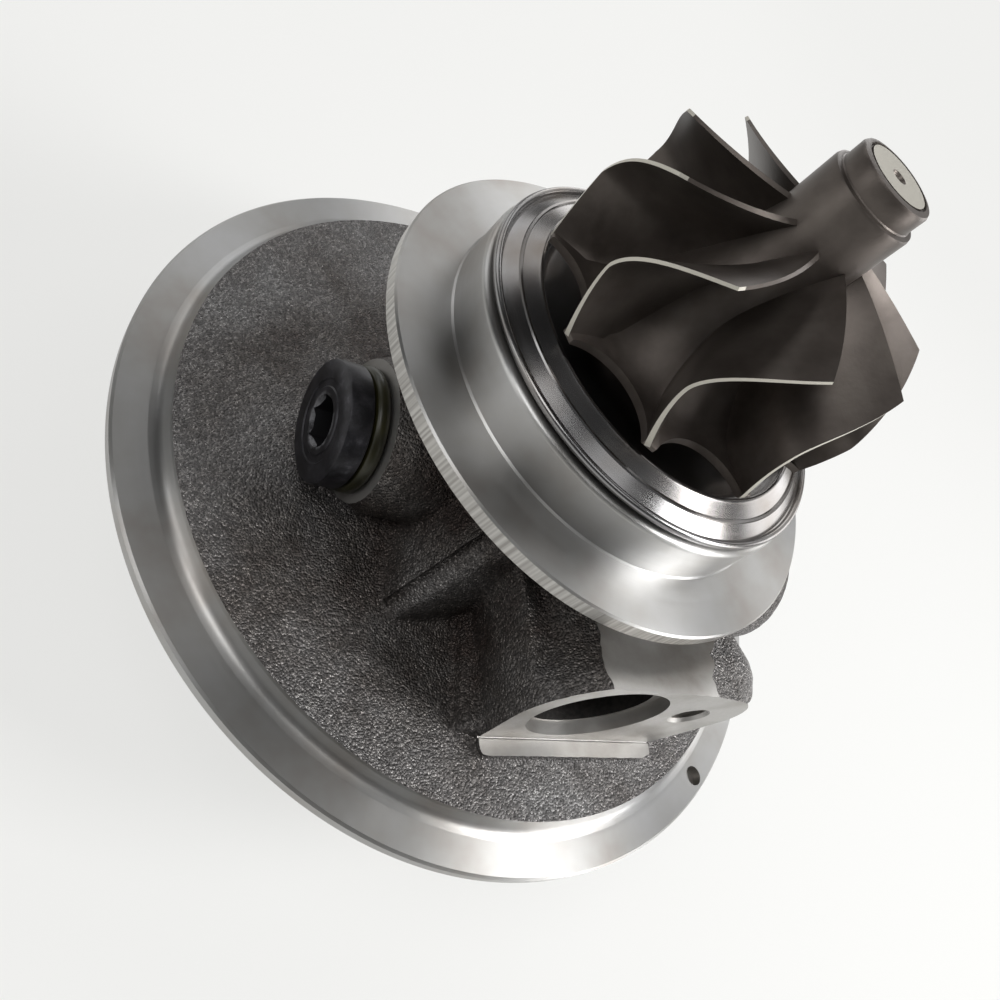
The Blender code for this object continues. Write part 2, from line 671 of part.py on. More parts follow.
def thrust_bearing(finish):
    bore = COLLAR_SLEEVE_R + RUN_SEAL
    high = THRUST_Z + THRUST_BEARING_T
    outline = [(bore, THRUST_Z), (THRUST_BEARING_R, THRUST_Z), (THRUST_BEARING_R, high), (bore, high)]
    plate = turned("thrust_bearing", outline, finish)
    low_y, high_y = -THRUST_BEARING_R - 1.0, -COLLAR_R - 3.6
    corners = [(x, y, z) for x in (-5.0, 5.0) for y in (low_y, high_y) for z in (THRUST_Z - 1, high + 1)]
    cut(plate, hull("drain_notch", corners))
    pocket_r = (bore + COLLAR_R) / 2
    for turn in (30.0, 150.0, 270.0):
        for z in (THRUST_Z, high):
            x, y = pocket_r * math.cos(math.radians(turn)), pocket_r * math.sin(math.radians(turn))
            cut(plate, rod("oil_pocket", (x, y, z - 0.35), (x, y, z + 0.35), 0.9, flats=10))
    feed = (0, THRUST_BEARING_R + 1, (THRUST_Z + high) / 2)
    cut(plate, rod("feed", feed, (0, bore - 1, feed[2]), 0.6, flats=8))
    return plate


def oil_baffle(finish):
    """Pressed sheet that turns the oil thrown off the collar down to the drain."""
    bore = COLLAR_R + 0.5
    high = BAFFLE_Z + BAFFLE_T
    outline = [(bore, BAFFLE_Z), (THRUST_BEARING_R, BAFFLE_Z), (THRUST_BEARING_R, high), (bore, high)]
    sheet = turned("oil_baffle", outline, finish)
    low_y, high_y = -THRUST_BEARING_R - 1.0, -COLLAR_R - 5.0
    corners = [(x, y, z) for x in (-4.0, 4.0) for y in (low_y, high_y) for z in (BAFFLE_Z - 1, high + 1)]
    cut(sheet, hull("outlet", corners))
    return sheet


def thrust_collar(finish):
    top = THRUST_Z + THRUST_BEARING_T + RUN_THRUST - 0.2
    flange_z = COLLAR_Z + COLLAR_FLANGE_T
    outline = [
        (STUD_BORE_R, COLLAR_Z),
        (COLLAR_R, COLLAR_Z),
        (COLLAR_R, flange_z),
        (COLLAR_SLEEVE_R, flange_z),
        (COLLAR_SLEEVE_R, top),
        (STUD_BORE_R, top),
    ]
    return turned("thrust_collar", outline, finish, flats=SMALL)


def thrust_washer(finish):
    high = WASHER_Z + WASHER_T
    outline = [(STUD_BORE_R, WASHER_Z), (COLLAR_R, WASHER_Z), (COLLAR_R, high), (STUD_BORE_R, high)]
    return turned("thrust_washer", outline, finish, flats=SMALL)


def oil_slinger(finish):
    """Sleeve in front of the compressor wheel, with the groove of its sealing ring."""
    low = WHEEL_BACK_Z + SEAT
    groove_high = SLEEVE_SEAL_Z + RING_T + 0.2
    outline = [
        (STUD_BORE_R, low),
        (SLEEVE_R, low),
        (SLEEVE_R, SLEEVE_SEAL_Z),
        (SLEEVE_R - RING_DEPTH, SLEEVE_SEAL_Z),
        (SLEEVE_R - RING_DEPTH, groove_high),
        (SLEEVE_R, groove_high),
        (SLEEVE_R, SLINGER_Z),
        (SLINGER_R, SLINGER_Z),
        (SLINGER_R, SLINGER_Z + SLINGER_T),
        (STUD_BORE_R, SLINGER_Z + SLINGER_T),
    ]
    return turned("oil_slinger", outline, finish, flats=SMALL)


def seal_rings(finish):
    """The two split rings: each grips its bore and stands still in the groove of the turning piece."""
    low = SLEEVE_SEAL_Z + 0.1
    inner = SLEEVE_R - RING_DEPTH + 0.25
    split_ring("compressor_seal_ring", inner, PLATE_BORE_R - 0.08, low, low + RING_T, 4.0, finish)
    low = SEAL_RING_Z + 0.1
    inner = SEAL_BOSS_R - RING_DEPTH + 0.25
    split_ring("turbine_seal_ring", inner, SEAL_BORE_R - 0.08, low, low + RING_T, 4.0, finish)


# Rotor
def rotor_shaft(finish):
    waist = JOURNAL_R - 0.25
    first, second = COMPRESSOR_BUSH_Z + BUSH_L + 0.4, TURBINE_BUSH_Z - 0.4
    ring_high = SEAL_RING_Z + RING_T + 0.2
    outline = [
        (0.0, STUD_END_Z),
        (STUD_R - 0.5, STUD_END_Z),
        (STUD_R, STUD_END_Z + 0.5),
        (STUD_R, SHOULDER_Z),
        (JOURNAL_R, SHOULDER_Z),
        (JOURNAL_R, first),
        (waist, first + 0.4),
        (waist, second - 0.4),
        (JOURNAL_R, second),
        (JOURNAL_R, SEAL_BOSS_Z),
        (SEAL_BOSS_R, SEAL_BOSS_Z),
        (SEAL_BOSS_R, SEAL_RING_Z),
        (SEAL_BOSS_R - RING_DEPTH, SEAL_RING_Z),
        (SEAL_BOSS_R - RING_DEPTH, ring_high),
        (SEAL_BOSS_R, ring_high),
        (SEAL_BOSS_R, WELD_Z),
        (0.0, WELD_Z),
    ]
    return turned("rotor_shaft", outline, finish, flats=SMALL)


def turbine_hub_r(z):
    """Radius of the hollow-ground hub at a level, from the disc to the nose."""
    low = TURBINE_BACK_Z + TURBINE_DISC_T
    share = min(max((z - low) / (TURBINE_HUB_EXIT_Z - 1.3 - low), 0.0), 1.0)
    return TURBINE_HUB_R + (SCALLOP_BOTTOM_R - TURBINE_HUB_R) * (1.0 - share) ** 2.2


def turbine_sweep(z):
    """Angle of a blade's radial fibres at a level, in degrees from its inner corner."""
    inlet_z = TURBINE_BACK_Z + TURBINE_INLET_W
    if z < inlet_z:
        share = (inlet_z - z) / TURBINE_INLET_W
        return INLET_SWEEP * (1.0 - share ** 1.6)
    share = (z - inlet_z) / (TURBINE_EXIT_Z - inlet_z)
    return INLET_SWEEP + EXIT_SWEEP * share ** EXIT_SWEEP_POWER


def blade(grid, root_t, tip_t):
    """Closed solid round a grid of points [station][span], thick at the root and thin at the tip."""
    stations, spans = len(grid), len(grid[0])
    sides = ([], [])
    bm = bmesh.new()
    for i in range(stations):
        for row in sides:
            row.append([])
        for j in range(spans):
            ahead = grid[min(i + 1, stations - 1)][j] - grid[max(i - 1, 0)][j]
            outward = grid[i][min(j + 1, spans - 1)] - grid[i][max(j - 1, 0)]
            share = j / (spans - 1)
            half = 0.5 * (root_t + (tip_t - root_t) * share) * ahead.cross(outward).normalized()
            sides[0][i].append(bm.verts.new((grid[i][j] + half) * MM))
            sides[1][i].append(bm.verts.new((grid[i][j] - half) * MM))
    for i in range(stations - 1):
        for j in range(spans - 1):
            for side in sides:
                bm.faces.new((side[i][j], side[i + 1][j], side[i + 1][j + 1], side[i][j + 1]))
    rim = [(i, 0) for i in range(stations)]
    rim += [(stations - 1, j) for j in range(1, spans)]
    rim += [(i, spans - 1) for i in range(stations - 2, -1, -1)]
    rim += [(0, j) for j in range(spans - 2, 0, -1)]
    for (i, j), (k, m) in zip(rim, rim[1:] + rim[:1]):
        bm.faces.new((sides[0][i][j], sides[0][k][m], sides[1][k][m], sides[1][i][j]))
    return piece("blade", bm)


def on_axis_angle(radius, z, degrees):
    turn = math.radians(degrees)
    return Vector((radius * math.cos(turn), radius * math.sin(turn), z))


def turbine_blade(first_angle):
    stations, spans = 8, 3
    inlet_z = TURBINE_BACK_Z + TURBINE_INLET_W
    foot_z = TURBINE_BACK_Z + 0.3
    floor = TURBINE_BACK_Z + TURBINE_DISC_T
    grid = []
    for i in range(stations):
        share = i / (stations - 1)
        tip_z = inlet_z + (TURBINE_EXIT_Z - inlet_z) * share
        tip_r = TURBINE_R + 0.3 - (TURBINE_R + 0.3 - TURBINE_EXIT_R) * share ** 1.4
        if share < 0.3:
            root_r = TURBINE_R + (SCALLOP_BOTTOM_R - 1.5 - TURBINE_R) * share / 0.3
            root_z = foot_z + (floor - foot_z) * share
        else:
            rise = (share - 0.25) / 0.75
            root_z = floor + (TURBINE_HUB_EXIT_Z - floor) * rise ** 1.5
            root_r = turbine_hub_r(root_z) - 0.8
        row = []
        for j in range(spans):
            across = j / (spans - 1)
            z = root_z + (tip_z - root_z) * across
            radius = root_r + (tip_r - root_r) * across
            row.append(on_axis_angle(radius, z, first_angle + turbine_sweep(z)))
        grid.append(row)
    return blade(grid, BLADE_ROOT_T, BLADE_TIP_T)


def turbine_wheel(finish):
    floor = TURBINE_BACK_Z + TURBINE_DISC_T
    outline = [
        (0.0, WELD_Z + SEAT),
        (TURBINE_BOSS_R, WELD_Z + SEAT),
        (TURBINE_BOSS_R, TURBINE_BACK_Z - 0.6),
        (TURBINE_BOSS_R + 0.6, TURBINE_BACK_Z),
        (TURBINE_R, TURBINE_BACK_Z),
        (TURBINE_R, floor - 0.2),
        (SCALLOP_BOTTOM_R + 2.0, floor),
    ]
    steps = 6
    for step in range(steps):
        z = floor + (TURBINE_HUB_EXIT_Z - 1.3 - floor) * (step / (steps - 1)) ** 1.3
        outline.append((turbine_hub_r(z), z))
    outline += [
        (TURBINE_HUB_R, TURBINE_NOSE_Z - 0.3),
        (TURBINE_HUB_R - 0.3, TURBINE_NOSE_Z),
        (TURBINE_END_R, TURBINE_NOSE_Z),
        (TURBINE_END_R, TURBINE_END_Z - 0.5),
        (TURBINE_END_R - 0.5, TURBINE_END_Z),
        (0.9, TURBINE_END_Z),
        (0.0, TURBINE_END_Z - 1.0),
    ]
    wheel = turned("turbine_wheel", outline, finish, flats=36)
    pitch = 360.0 / TURBINE_BLADES
    centre_r = SCALLOP_BOTTOM_R + SCALLOP_R
    for number in range(TURBINE_BLADES):
        between = math.radians(FIRST_BLADE_ANGLE + pitch * (number + 0.5))
        x, y = centre_r * math.cos(between), centre_r * math.sin(between)
        cut(wheel, rod("scallop", (x, y, TURBINE_BACK_Z - 1), (x, y, floor + 1), SCALLOP_R, flats=24))
    for number in range(TURBINE_BLADES):
        join(wheel, turbine_blade(FIRST_BLADE_ANGLE + pitch * number))
    return wheel


def compressor_blade(first_angle, start):
    """A full blade from the eye, or a splitter that starts further down the passage."""
    stations, spans = 6, 3
    tip_z = WHEEL_DISC_Z - COMPRESSOR_TIP_W
    grid = []
    for i in range(stations):
        share = start + (1.0 - start) * i / (stations - 1)
        out = 1.0 - math.cos(share * math.pi / 2)
        down = math.sin(share * math.pi / 2)
        root_r = COMPRESSOR_HUB_R - 0.6 + (COMPRESSOR_R - COMPRESSOR_HUB_R + 0.6) * out
        root_z = WHEEL_EYE_Z + (WHEEL_DISC_Z + 0.5 - WHEEL_EYE_Z) * down
        rim_r = COMPRESSOR_EYE_R + (COMPRESSOR_R - COMPRESSOR_EYE_R) * out
        rim_z = WHEEL_EYE_Z + 0.4 + (tip_z - WHEEL_EYE_Z - 0.4) * down
        row = []
        for j in range(spans):
            across = j / (spans - 1)
            radius = root_r + (rim_r - root_r) * across
            z = root_z + (rim_z - root_z) * across
            sweep = COMPRESSOR_WRAP * share - EYE_LEAN * across * (1.0 - share)
            row.append(on_axis_angle(radius, z, first_angle + sweep))
        grid.append(row)
    return blade(grid, COMPRESSOR_BLADE_T * 1.5, COMPRESSOR_BLADE_T)


def compressor_wheel(finish):
    outline = [
        (STUD_BORE_R, WHEEL_BACK_Z),
        (COMPRESSOR_R, WHEEL_BACK_Z),
        (COMPRESSOR_R, WHEEL_DISC_Z),
    ]
    for step in range(1, 6):
        share = 1.0 - step / 6
        out = 1.0 - math.cos(share * math.pi / 2)
        down = math.sin(share * math.pi / 2)
        radius = COMPRESSOR_HUB_R + (COMPRESSOR_R - COMPRESSOR_HUB_R) * out
        outline.append((radius, WHEEL_EYE_Z + (WHEEL_DISC_Z - WHEEL_EYE_Z) * down))
    outline += [
        (COMPRESSOR_HUB_R - 0.4, WHEEL_NOSE_Z),
        (STUD_BORE_R, WHEEL_NOSE_Z),
    ]
    wheel = turned("compressor_wheel", outline, finish, flats=24)
    pitch = 360.0 / COMPRESSOR_BLADES
    for number in range(COMPRESSOR_BLADES):
        join(wheel, compressor_blade(pitch * number, 0.0))
        join(wheel, compressor_blade(pitch * (number + 0.5), SPLITTER_START))
    return wheel


def compressor_nut(finish):
    corner_r = NUT_ACROSS_FLATS / math.sqrt(3.0)
    low = NUT_Z - NUT_L
    nut = rod("compressor_nut", (0, 0, low), (0, 0, NUT_Z - 1.0), corner_r, finish, flats=6)
    join(nut, rod("washer_face", (0, 0, NUT_Z - 1.5), (0, 0, NUT_Z), NUT_ACROSS_FLATS / 2 + 0.9, flats=24))
    cut(nut, rod("bore", (0, 0, low - 1), (0, 0, NUT_Z + 1), STUD_BORE_R))
    return nut


# Hot side cover and the plug of the coolant port
def heat_shield(finish):
    """Pressed stainless cup: a rolled rim, a step, and a lip round the back of the wheel."""
    seat_z = SPIGOT_TOP_Z + SEAT
    lip_z = seat_z + SHIELD_LIP_RISE
    floor_z = seat_z + 0.2
    hole_r = TURBINE_BOSS_R + 1.0
    outline = [
        (hole_r, floor_z),
        (SHIELD_LIP_R - 1.2, floor_z),
        (SHIELD_LIP_R - 0.9, floor_z + 0.3),
        (SHIELD_LIP_R - 0.7, lip_z - SHIELD_T),
        (SHIELD_LIP_R - 0.2, lip_z - SHIELD_T),
        (SHIELD_STEP_R - 0.4, lip_z - SHIELD_T - 0.5),
        (SHIELD_STEP_R - 0.1, lip_z - SHIELD_T - 0.8),
        (SHIELD_STEP_R + 0.3, seat_z + 0.3),
        (SHIELD_STEP_R + 0.8, seat_z),
        (SHIELD_R - 1.0, seat_z),
        (SHIELD_R - 0.7, seat_z + 0.5),
        (SHIELD_R, seat_z + 0.7),
        (SHIELD_R, seat_z + 1.1),
        (SHIELD_R - 0.3, seat_z + 1.4),
        (SHIELD_R - 0.8, seat_z + 1.4),
        (SHIELD_R - 1.2, seat_z + 0.7),
        (SHIELD_STEP_R + 1.1, seat_z + SHIELD_T),
        (SHIELD_STEP_R + 0.8, seat_z + 0.9),
        (SHIELD_STEP_R + 0.4, lip_z - 0.9),
        (SHIELD_STEP_R, lip_z - 0.5),
        (SHIELD_LIP_R + 0.3, lip_z),
        (SHIELD_LIP_R - 0.1, lip_z),
        (SHIELD_LIP_R - 0.3, floor_z + 0.9),
        (SHIELD_LIP_R - 0.7, floor_z + SHIELD_T),
        (hole_r, floor_z + SHIELD_T),
    ]
    return turned("heat_shield", outline, finish, flats=40)


def port_plug(finish):
    """Collared socket plug. Its thread is left as a plain shank."""
    ring_face = PLUG_PORT_FACE + SEAT + PLUG_RING_T + SEAT
    head = ring_face + PLUG_COLLAR_T
    shank = ring_face - PLUG_PORT_FACE + PLUG_THREAD_L
    axis = (PLUG_PORT_Y, PLUG_PORT_Z)
    profile = [
        (0.0, PLUG_COLLAR_R - 0.6),
        (0.6, PLUG_COLLAR_R),
        (PLUG_COLLAR_T, PLUG_COLLAR_R),
        (PLUG_COLLAR_T, PORT_HOLE_R - SEAT),
        (PLUG_COLLAR_T + shank, PORT_HOLE_R - SEAT),
    ]
    plug = bar("port_plug", (-head, *axis), (0.0, *axis), profile, finish, flats=24)
    corner_r = PLUG_HEX_AF / math.sqrt(3.0)
    cut(plug, rod("socket", (-head - 1, *axis), (-head + PLUG_HEX_DEPTH, *axis), corner_r, flats=6))
    return plug


def plug_sealing_ring(finish):
    near = PLUG_PORT_FACE + SEAT
    axis = (PLUG_PORT_Y, PLUG_PORT_Z)
    far = (-near - PLUG_RING_T, *axis)
    ring = rod("plug_sealing_ring", (-near, *axis), far, PLUG_RING_R, finish, flats=24)
    ends = ((-near + 1, *axis), (-near - PLUG_RING_T - 1, *axis))
    cut(ring, rod("bore", *ends, PORT_HOLE_R + 0.2, flats=24))
    return ring


def build():
    clear_scene()
    cast_iron = material("cast_iron", (0.16, 0.15, 0.14), 0.55, 0.7)
    stainless = material("stainless_sheet", (0.55, 0.53, 0.50), 0.25, 1.0)
    nickel_alloy = material("cast_nickel_alloy", (0.10, 0.085, 0.075), 0.38, 0.8)
    aluminium = material("aluminium", (0.60, 0.61, 0.62), 0.35, 1.0)
    steel = material("ground_steel", (0.42, 0.41, 0.40), 0.3, 1.0)
    spring_steel = material("spring_steel", (0.12, 0.12, 0.13), 0.4, 0.9)
    bronze = material("bearing_bronze", (0.50, 0.32, 0.14), 0.35, 1.0)
    black = material("black_plug", (0.012, 0.011, 0.013), 0.3, 0.3)
    olive = material("olive_sealing_ring", (0.045, 0.045, 0.012), 0.45, 0.1)
    rubber = material("black_rubber", (0.02, 0.02, 0.02), 0.6, 0.0)

    bearing_housing(cast_iron)
    heat_shield(stainless)
    port_plug(black)
    plug_sealing_ring(olive)
    seal_plate(aluminium)
    o_ring(rubber)
    for number in range(SCREWS):
        seal_plate_screw(number, spring_steel)
    bush_clips(spring_steel)
    thrust_bearing(bronze)
    oil_baffle(stainless)
    seal_rings(spring_steel)
    journal_bush("compressor_journal_bush", COMPRESSOR_BUSH_Z, bronze)
    journal_bush("turbine_journal_bush", TURBINE_BUSH_Z, bronze)
    rotor_shaft(steel)
    turbine_wheel(nickel_alloy)
    thrust_washer(steel)
    thrust_collar(steel)
    oil_slinger(steel)
    compressor_wheel(aluminium)
    compressor_nut(steel)


build()
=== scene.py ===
import math

import bpy
from mathutils import Matrix, Vector


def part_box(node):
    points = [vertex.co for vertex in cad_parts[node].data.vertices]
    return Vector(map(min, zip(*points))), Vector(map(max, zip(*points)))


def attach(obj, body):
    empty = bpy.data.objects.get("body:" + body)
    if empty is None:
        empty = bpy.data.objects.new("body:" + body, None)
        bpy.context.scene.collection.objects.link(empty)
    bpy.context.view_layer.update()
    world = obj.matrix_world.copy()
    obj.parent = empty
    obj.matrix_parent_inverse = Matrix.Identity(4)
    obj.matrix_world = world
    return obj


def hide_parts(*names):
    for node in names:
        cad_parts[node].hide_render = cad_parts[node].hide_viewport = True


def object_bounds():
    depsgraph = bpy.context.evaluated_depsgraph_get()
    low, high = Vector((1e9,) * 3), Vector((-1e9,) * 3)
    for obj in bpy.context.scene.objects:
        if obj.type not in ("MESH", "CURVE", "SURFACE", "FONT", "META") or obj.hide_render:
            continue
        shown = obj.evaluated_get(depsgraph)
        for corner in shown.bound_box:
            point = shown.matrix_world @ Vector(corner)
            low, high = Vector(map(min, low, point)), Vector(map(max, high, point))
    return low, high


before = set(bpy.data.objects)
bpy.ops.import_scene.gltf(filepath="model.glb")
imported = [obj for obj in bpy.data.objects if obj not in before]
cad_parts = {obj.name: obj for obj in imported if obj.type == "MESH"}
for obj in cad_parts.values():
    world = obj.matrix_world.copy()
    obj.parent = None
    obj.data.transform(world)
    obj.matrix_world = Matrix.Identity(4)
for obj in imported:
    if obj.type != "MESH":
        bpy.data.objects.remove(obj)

cad_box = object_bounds()

# Bearing housing. The real piece is one grey iron casting with a rough sand-cast skin. Its rim, turbine
# flange and spigot are then turned on a lathe, and the drain face and ports are milled and drilled.
MM = 0.001
# Turned disc, flange and spigot, all in millimetres
DISC_R = 57.5
RIM_T = 2.2
RING_R = 50.7
PILOT_R = 52.0
PILOT_H = 3.0
WEB_Z = 4.7
NECK_R = 22.0
FLANGE_R = 35.2
FLANGE_Z = 33.55
FLANGE_EDGE = 2.35
SPIGOT_R = 27.3
SPIGOT_Z = FLANGE_Z + 6.8
CLAMP_HOLLOW_R = 27.0
CLAMP_HOLLOW_LOW, CLAMP_HOLLOW_TOP = 24.0, 29.0
# What the casting has before turning, and a radius outside all of it
TURNING_STOCK = 2.0
FLANGE_STOCK_R = 37.0
STOCK_TOP_Z = 42.0
CLEAR_R = 66.0
# Oil drain, which faces -Y, with its plate, the flare behind it, its foot and its bolt's lobe
DRAIN_Y = -40.15
DRAIN_Z = 17.7
DRAIN_R = 9.3
DRAIN_RING_R = DRAIN_R + 2.9
DRAIN_NECK_R = 9.5
DRAIN_STOCK_Y = -42.0
PLATE_BACK_Y = -37.9
FLARE_Y, FLARE_END_Y = -38.0, -34.6
NECK_SIDE_Y, NECK_END_Y = -38.6, -14.0
FOOT_LEFT, FOOT_RIGHT = -9.9, 18.7
FOOT_Z, FOOT_TOP = 1.0, 6.0
LEDGE_Z = 6.2
THROAT_Z = DRAIN_Z - 0.7
BOLT_X, BOLT_Z = 15.0, 19.5
LOBE_Z = BOLT_Z - 0.4
LOBE_R = 8.0
# Plugged port at -X, open port at +X and oil inlet at +Y
PLUG_Y, PLUG_Z = -2.8, 14.2
PLUG_FACE_X = -29.3
PLUG_BOSS_R = 10.6
PLUG_HOLE_R = 6.3
OPEN_Y, OPEN_Z = -14.0, 17.0
OPEN_FACE_X = 36.5
OPEN_BOSS_R = 11.3
PORT_HOLE_R = 6.2
INLET_Z = 12.65
INLET_FACE_Y = 31.0
INLET_BOSS_R = 9.6
INLET_HOLE_R = 4.3
PORT_STOCK = 3.0
WEB_TOP_Z = 5.4
# Locating hole in the rim, then the bores along the shaft from the compressor side
LOCATING_R, LOCATING_PITCH_R, LOCATING_ANGLE = 1.5, 55.2, -53.0
SEAL_PLATE_SEAT_R, SEAL_PLATE_SEAT_Z = 25.3, 2.6
THRUST_SEAT_R, THRUST_SEAT_Z = 17.3, 5.7
WASHER_POCKET_R, WASHER_POCKET_Z = 8.5, 8.25
BUSH_BORE_R, BUSH_BORE_END = 6.9, 34.25
SLINGER_POCKET_R, SLINGER_POCKET_END = 10.5, 36.45
SEAL_BORE_R = 8.3
SHIELD_RECESS_R, SHIELD_RECESS_Z = 25.2, 36.95
SNOUT_R = 12.5
PAST_TOP_Z = 50.0
# Lumps of the sand-cast skin, and the edge of the cubes that the casting is remeshed in
SKIN_LUMP, SKIN_DEPTH = 1.1, 0.16
CAST_VOXEL = 0.45


def only(piece):
    """Select one object and nothing else."""
    bpy.ops.object.select_all(action="DESELECT")
    piece.select_set(True)
    bpy.context.view_layer.objects.active = piece
    return piece


def settle(name):
    """Name the new primitive and put its place and turn into its mesh."""
    piece = bpy.context.object
    piece.name = name
    bpy.ops.object.transform_apply(location=True, rotation=True, scale=True)
    return piece


def turned(name, profile, flats=192, solid=True):
    """A ring is extruded and scaled along an (r, z) profile in millimetres, as a turned part grows."""
    bpy.ops.object.select_all(action="DESELECT")
    radius, height = profile[0]
    bpy.ops.mesh.primitive_circle_add(
        vertices=flats, radius=radius * MM, location=(0, 0, height * MM),
        fill_type="NGON" if solid else "NOTHING",
    )
    piece = settle(name)
    bpy.ops.object.mode_set(mode="EDIT")
    bpy.ops.mesh.select_all(action="SELECT")
    for (r0, z0), (r1, z1) in zip(profile, profile[1:]):
        bpy.ops.mesh.extrude_edges_move(TRANSFORM_OT_translate={"value": (0, 0, (z1 - z0) * MM)})
        grow = r1 / r0
        bpy.ops.transform.resize(value=(grow, grow, 1.0), center_override=(0, 0, z1 * MM))
    if solid:
        bpy.ops.mesh.edge_face_add()
    bpy.ops.mesh.select_all(action="SELECT")
    bpy.ops.mesh.remove_doubles(threshold=0.000002)
    bpy.ops.mesh.normals_make_consistent(inside=False)
    bpy.ops.object.mode_set(mode="OBJECT")
    return piece


def round_bar(name, start, end, radius, flats=96, end_radius=None):
    """A cylinder or cone between two points in millimetres."""
    low, high = Vector(start) * MM, Vector(end) * MM
    turn = (high - low).to_track_quat("Z", "Y").to_euler()
    bpy.ops.object.select_all(action="DESELECT")
    bpy.ops.mesh.primitive_cone_add(
        vertices=flats, radius1=radius * MM, radius2=(radius if end_radius is None else end_radius) * MM,
        depth=(high - low).length, location=(low + high) / 2, rotation=turn,
    )
    return settle(name)


def block(name, low, high):
    """A box between two corners in millimetres."""
    bpy.ops.object.select_all(action="DESELECT")
    bpy.ops.mesh.primitive_cube_add(size=1.0)
    piece = bpy.context.object
    piece.location = (Vector(low) + Vector(high)) / 2 * MM
    piece.scale = (Vector(high) - Vector(low)) * MM
    return settle(name)


def joined(target, *others):
    """Put the other meshes into the first one's object."""
    bpy.ops.object.select_all(action="DESELECT")
    for other in others:
        other.select_set(True)
    target.select_set(True)
    bpy.context.view_layer.objects.active = target
    bpy.ops.object.join()
    return target


def skinned(piece):
    """Stretch one tight skin round all the points of a piece."""
    only(piece)
    bpy.ops.object.mode_set(mode="EDIT")
    bpy.ops.mesh.select_all(action="SELECT")
    bpy.ops.mesh.convex_hull()
    bpy.ops.object.mode_set(mode="OBJECT")
    return piece


def modified(piece, kind, **settings):
    """Add one modifier with its settings and apply it."""
    only(piece)
    step = piece.modifiers.new(kind.lower(), kind)
    for key, value in settings.items():
        setattr(step, key, value)
    bpy.ops.object.modifier_apply(modifier=step.name)
    return piece


def carve(piece, cutter, operation="DIFFERENCE"):
    """Boolean with a cutter whose finish stays on the faces that it leaves."""
    modified(piece, "BOOLEAN", object=cutter, operation=operation, solver="EXACT", material_mode="INDEX")
    bpy.data.objects.remove(cutter, do_unlink=True)
    return piece


def smooth_line(points, steps=6):
    """A round curve through a few points of a profile."""
    ends = [points[0]] + list(points) + [points[-1]]
    line = []
    for a, b, c, d in zip(ends, ends[1:], ends[2:], ends[3:]):
        for step in range(steps):
            t = step / steps
            line.append(tuple(
                0.5 * (
                    2 * q + (r - p) * t + (2 * p - 5 * q + 4 * r - s) * t ** 2
                    + (3 * q - p - 3 * r + s) * t ** 3
                )
                for p, q, r, s in zip(a, b, c, d)
            ))
    return line + [tuple(points[-1])]


def smoothed(piece, degrees):
    """Shade a piece smooth, and leave the edges sharp where its faces meet at more than an angle."""
    only(piece)
    bpy.ops.object.shade_smooth_by_angle(angle=math.radians(degrees))
    return piece


def linear(code):
    """An sRGB hex colour as the shader's linear values."""
    parts = [int(code[i:i + 2], 16) / 255 for i in (1, 3, 5)]
    return [p / 12.92 if p <= 0.04045 else ((p + 0.055) / 1.055) ** 2.4 for p in parts] + [1.0]


def new_material(name, colour, metallic, roughness, **more):
    """A Principled material. Values that are the same all over are set on the shader's sockets."""
    made = bpy.data.materials.new(name)
    made.use_nodes = True
    shader = made.node_tree.nodes["Principled BSDF"]
    shader.inputs["Base Color"].default_value = linear(colour)
    shader.inputs["Metallic"].default_value = metallic
    shader.inputs["Roughness"].default_value = roughness
    for socket, value in more.items():
        shader.inputs[socket.replace("_", " ")].default_value = value
    return made


def add(made, kind, links=None, **settings):
    """Add a node with its settings. Links give an input's name or number and what feeds it."""
    node = made.node_tree.nodes.new(kind)
    for key, value in settings.items():
        if hasattr(node, key):
            setattr(node, key, value)
        else:
            node.inputs[key.replace("_", " ")].default_value = value
    for key, source in (links or {}).items():
        made.node_tree.links.new(source, node.inputs[key])
    return node


def feed(made, socket, source):
    """Link a node's output to the material's shader."""
    made.node_tree.links.new(source, made.node_tree.nodes["Principled BSDF"].inputs[socket])


def colours(made, factor, *stops):
    """A colour ramp of (position, hex colour) stops."""
    ramp = add(made, "ShaderNodeValToRGB", {"Fac": factor})
    while len(ramp.color_ramp.elements) < len(stops):
        ramp.color_ramp.elements.new(0.5)
    for element, (position, code) in zip(ramp.color_ramp.elements, stops):
        element.position = position
        element.color = linear(code)
    return ramp.outputs["Color"]


def spread(made, factor, low, high):
    """Stretch a 0 to 1 pattern to a range."""
    return add(made, "ShaderNodeMapRange", {"Value": factor}, To_Min=low, To_Max=high).outputs["Result"]


def from_axis(made, place):
    """Distance of the pattern's place from the shaft's axis, and its level."""
    parts = add(made, "ShaderNodeSeparateXYZ", {"Vector": place})
    flat = add(made, "ShaderNodeCombineXYZ", {"X": parts.outputs["X"], "Y": parts.outputs["Y"]})
    radius = add(made, "ShaderNodeVectorMath", {0: flat.outputs[0]}, operation="LENGTH").outputs["Value"]
    return radius, parts.outputs["Z"]


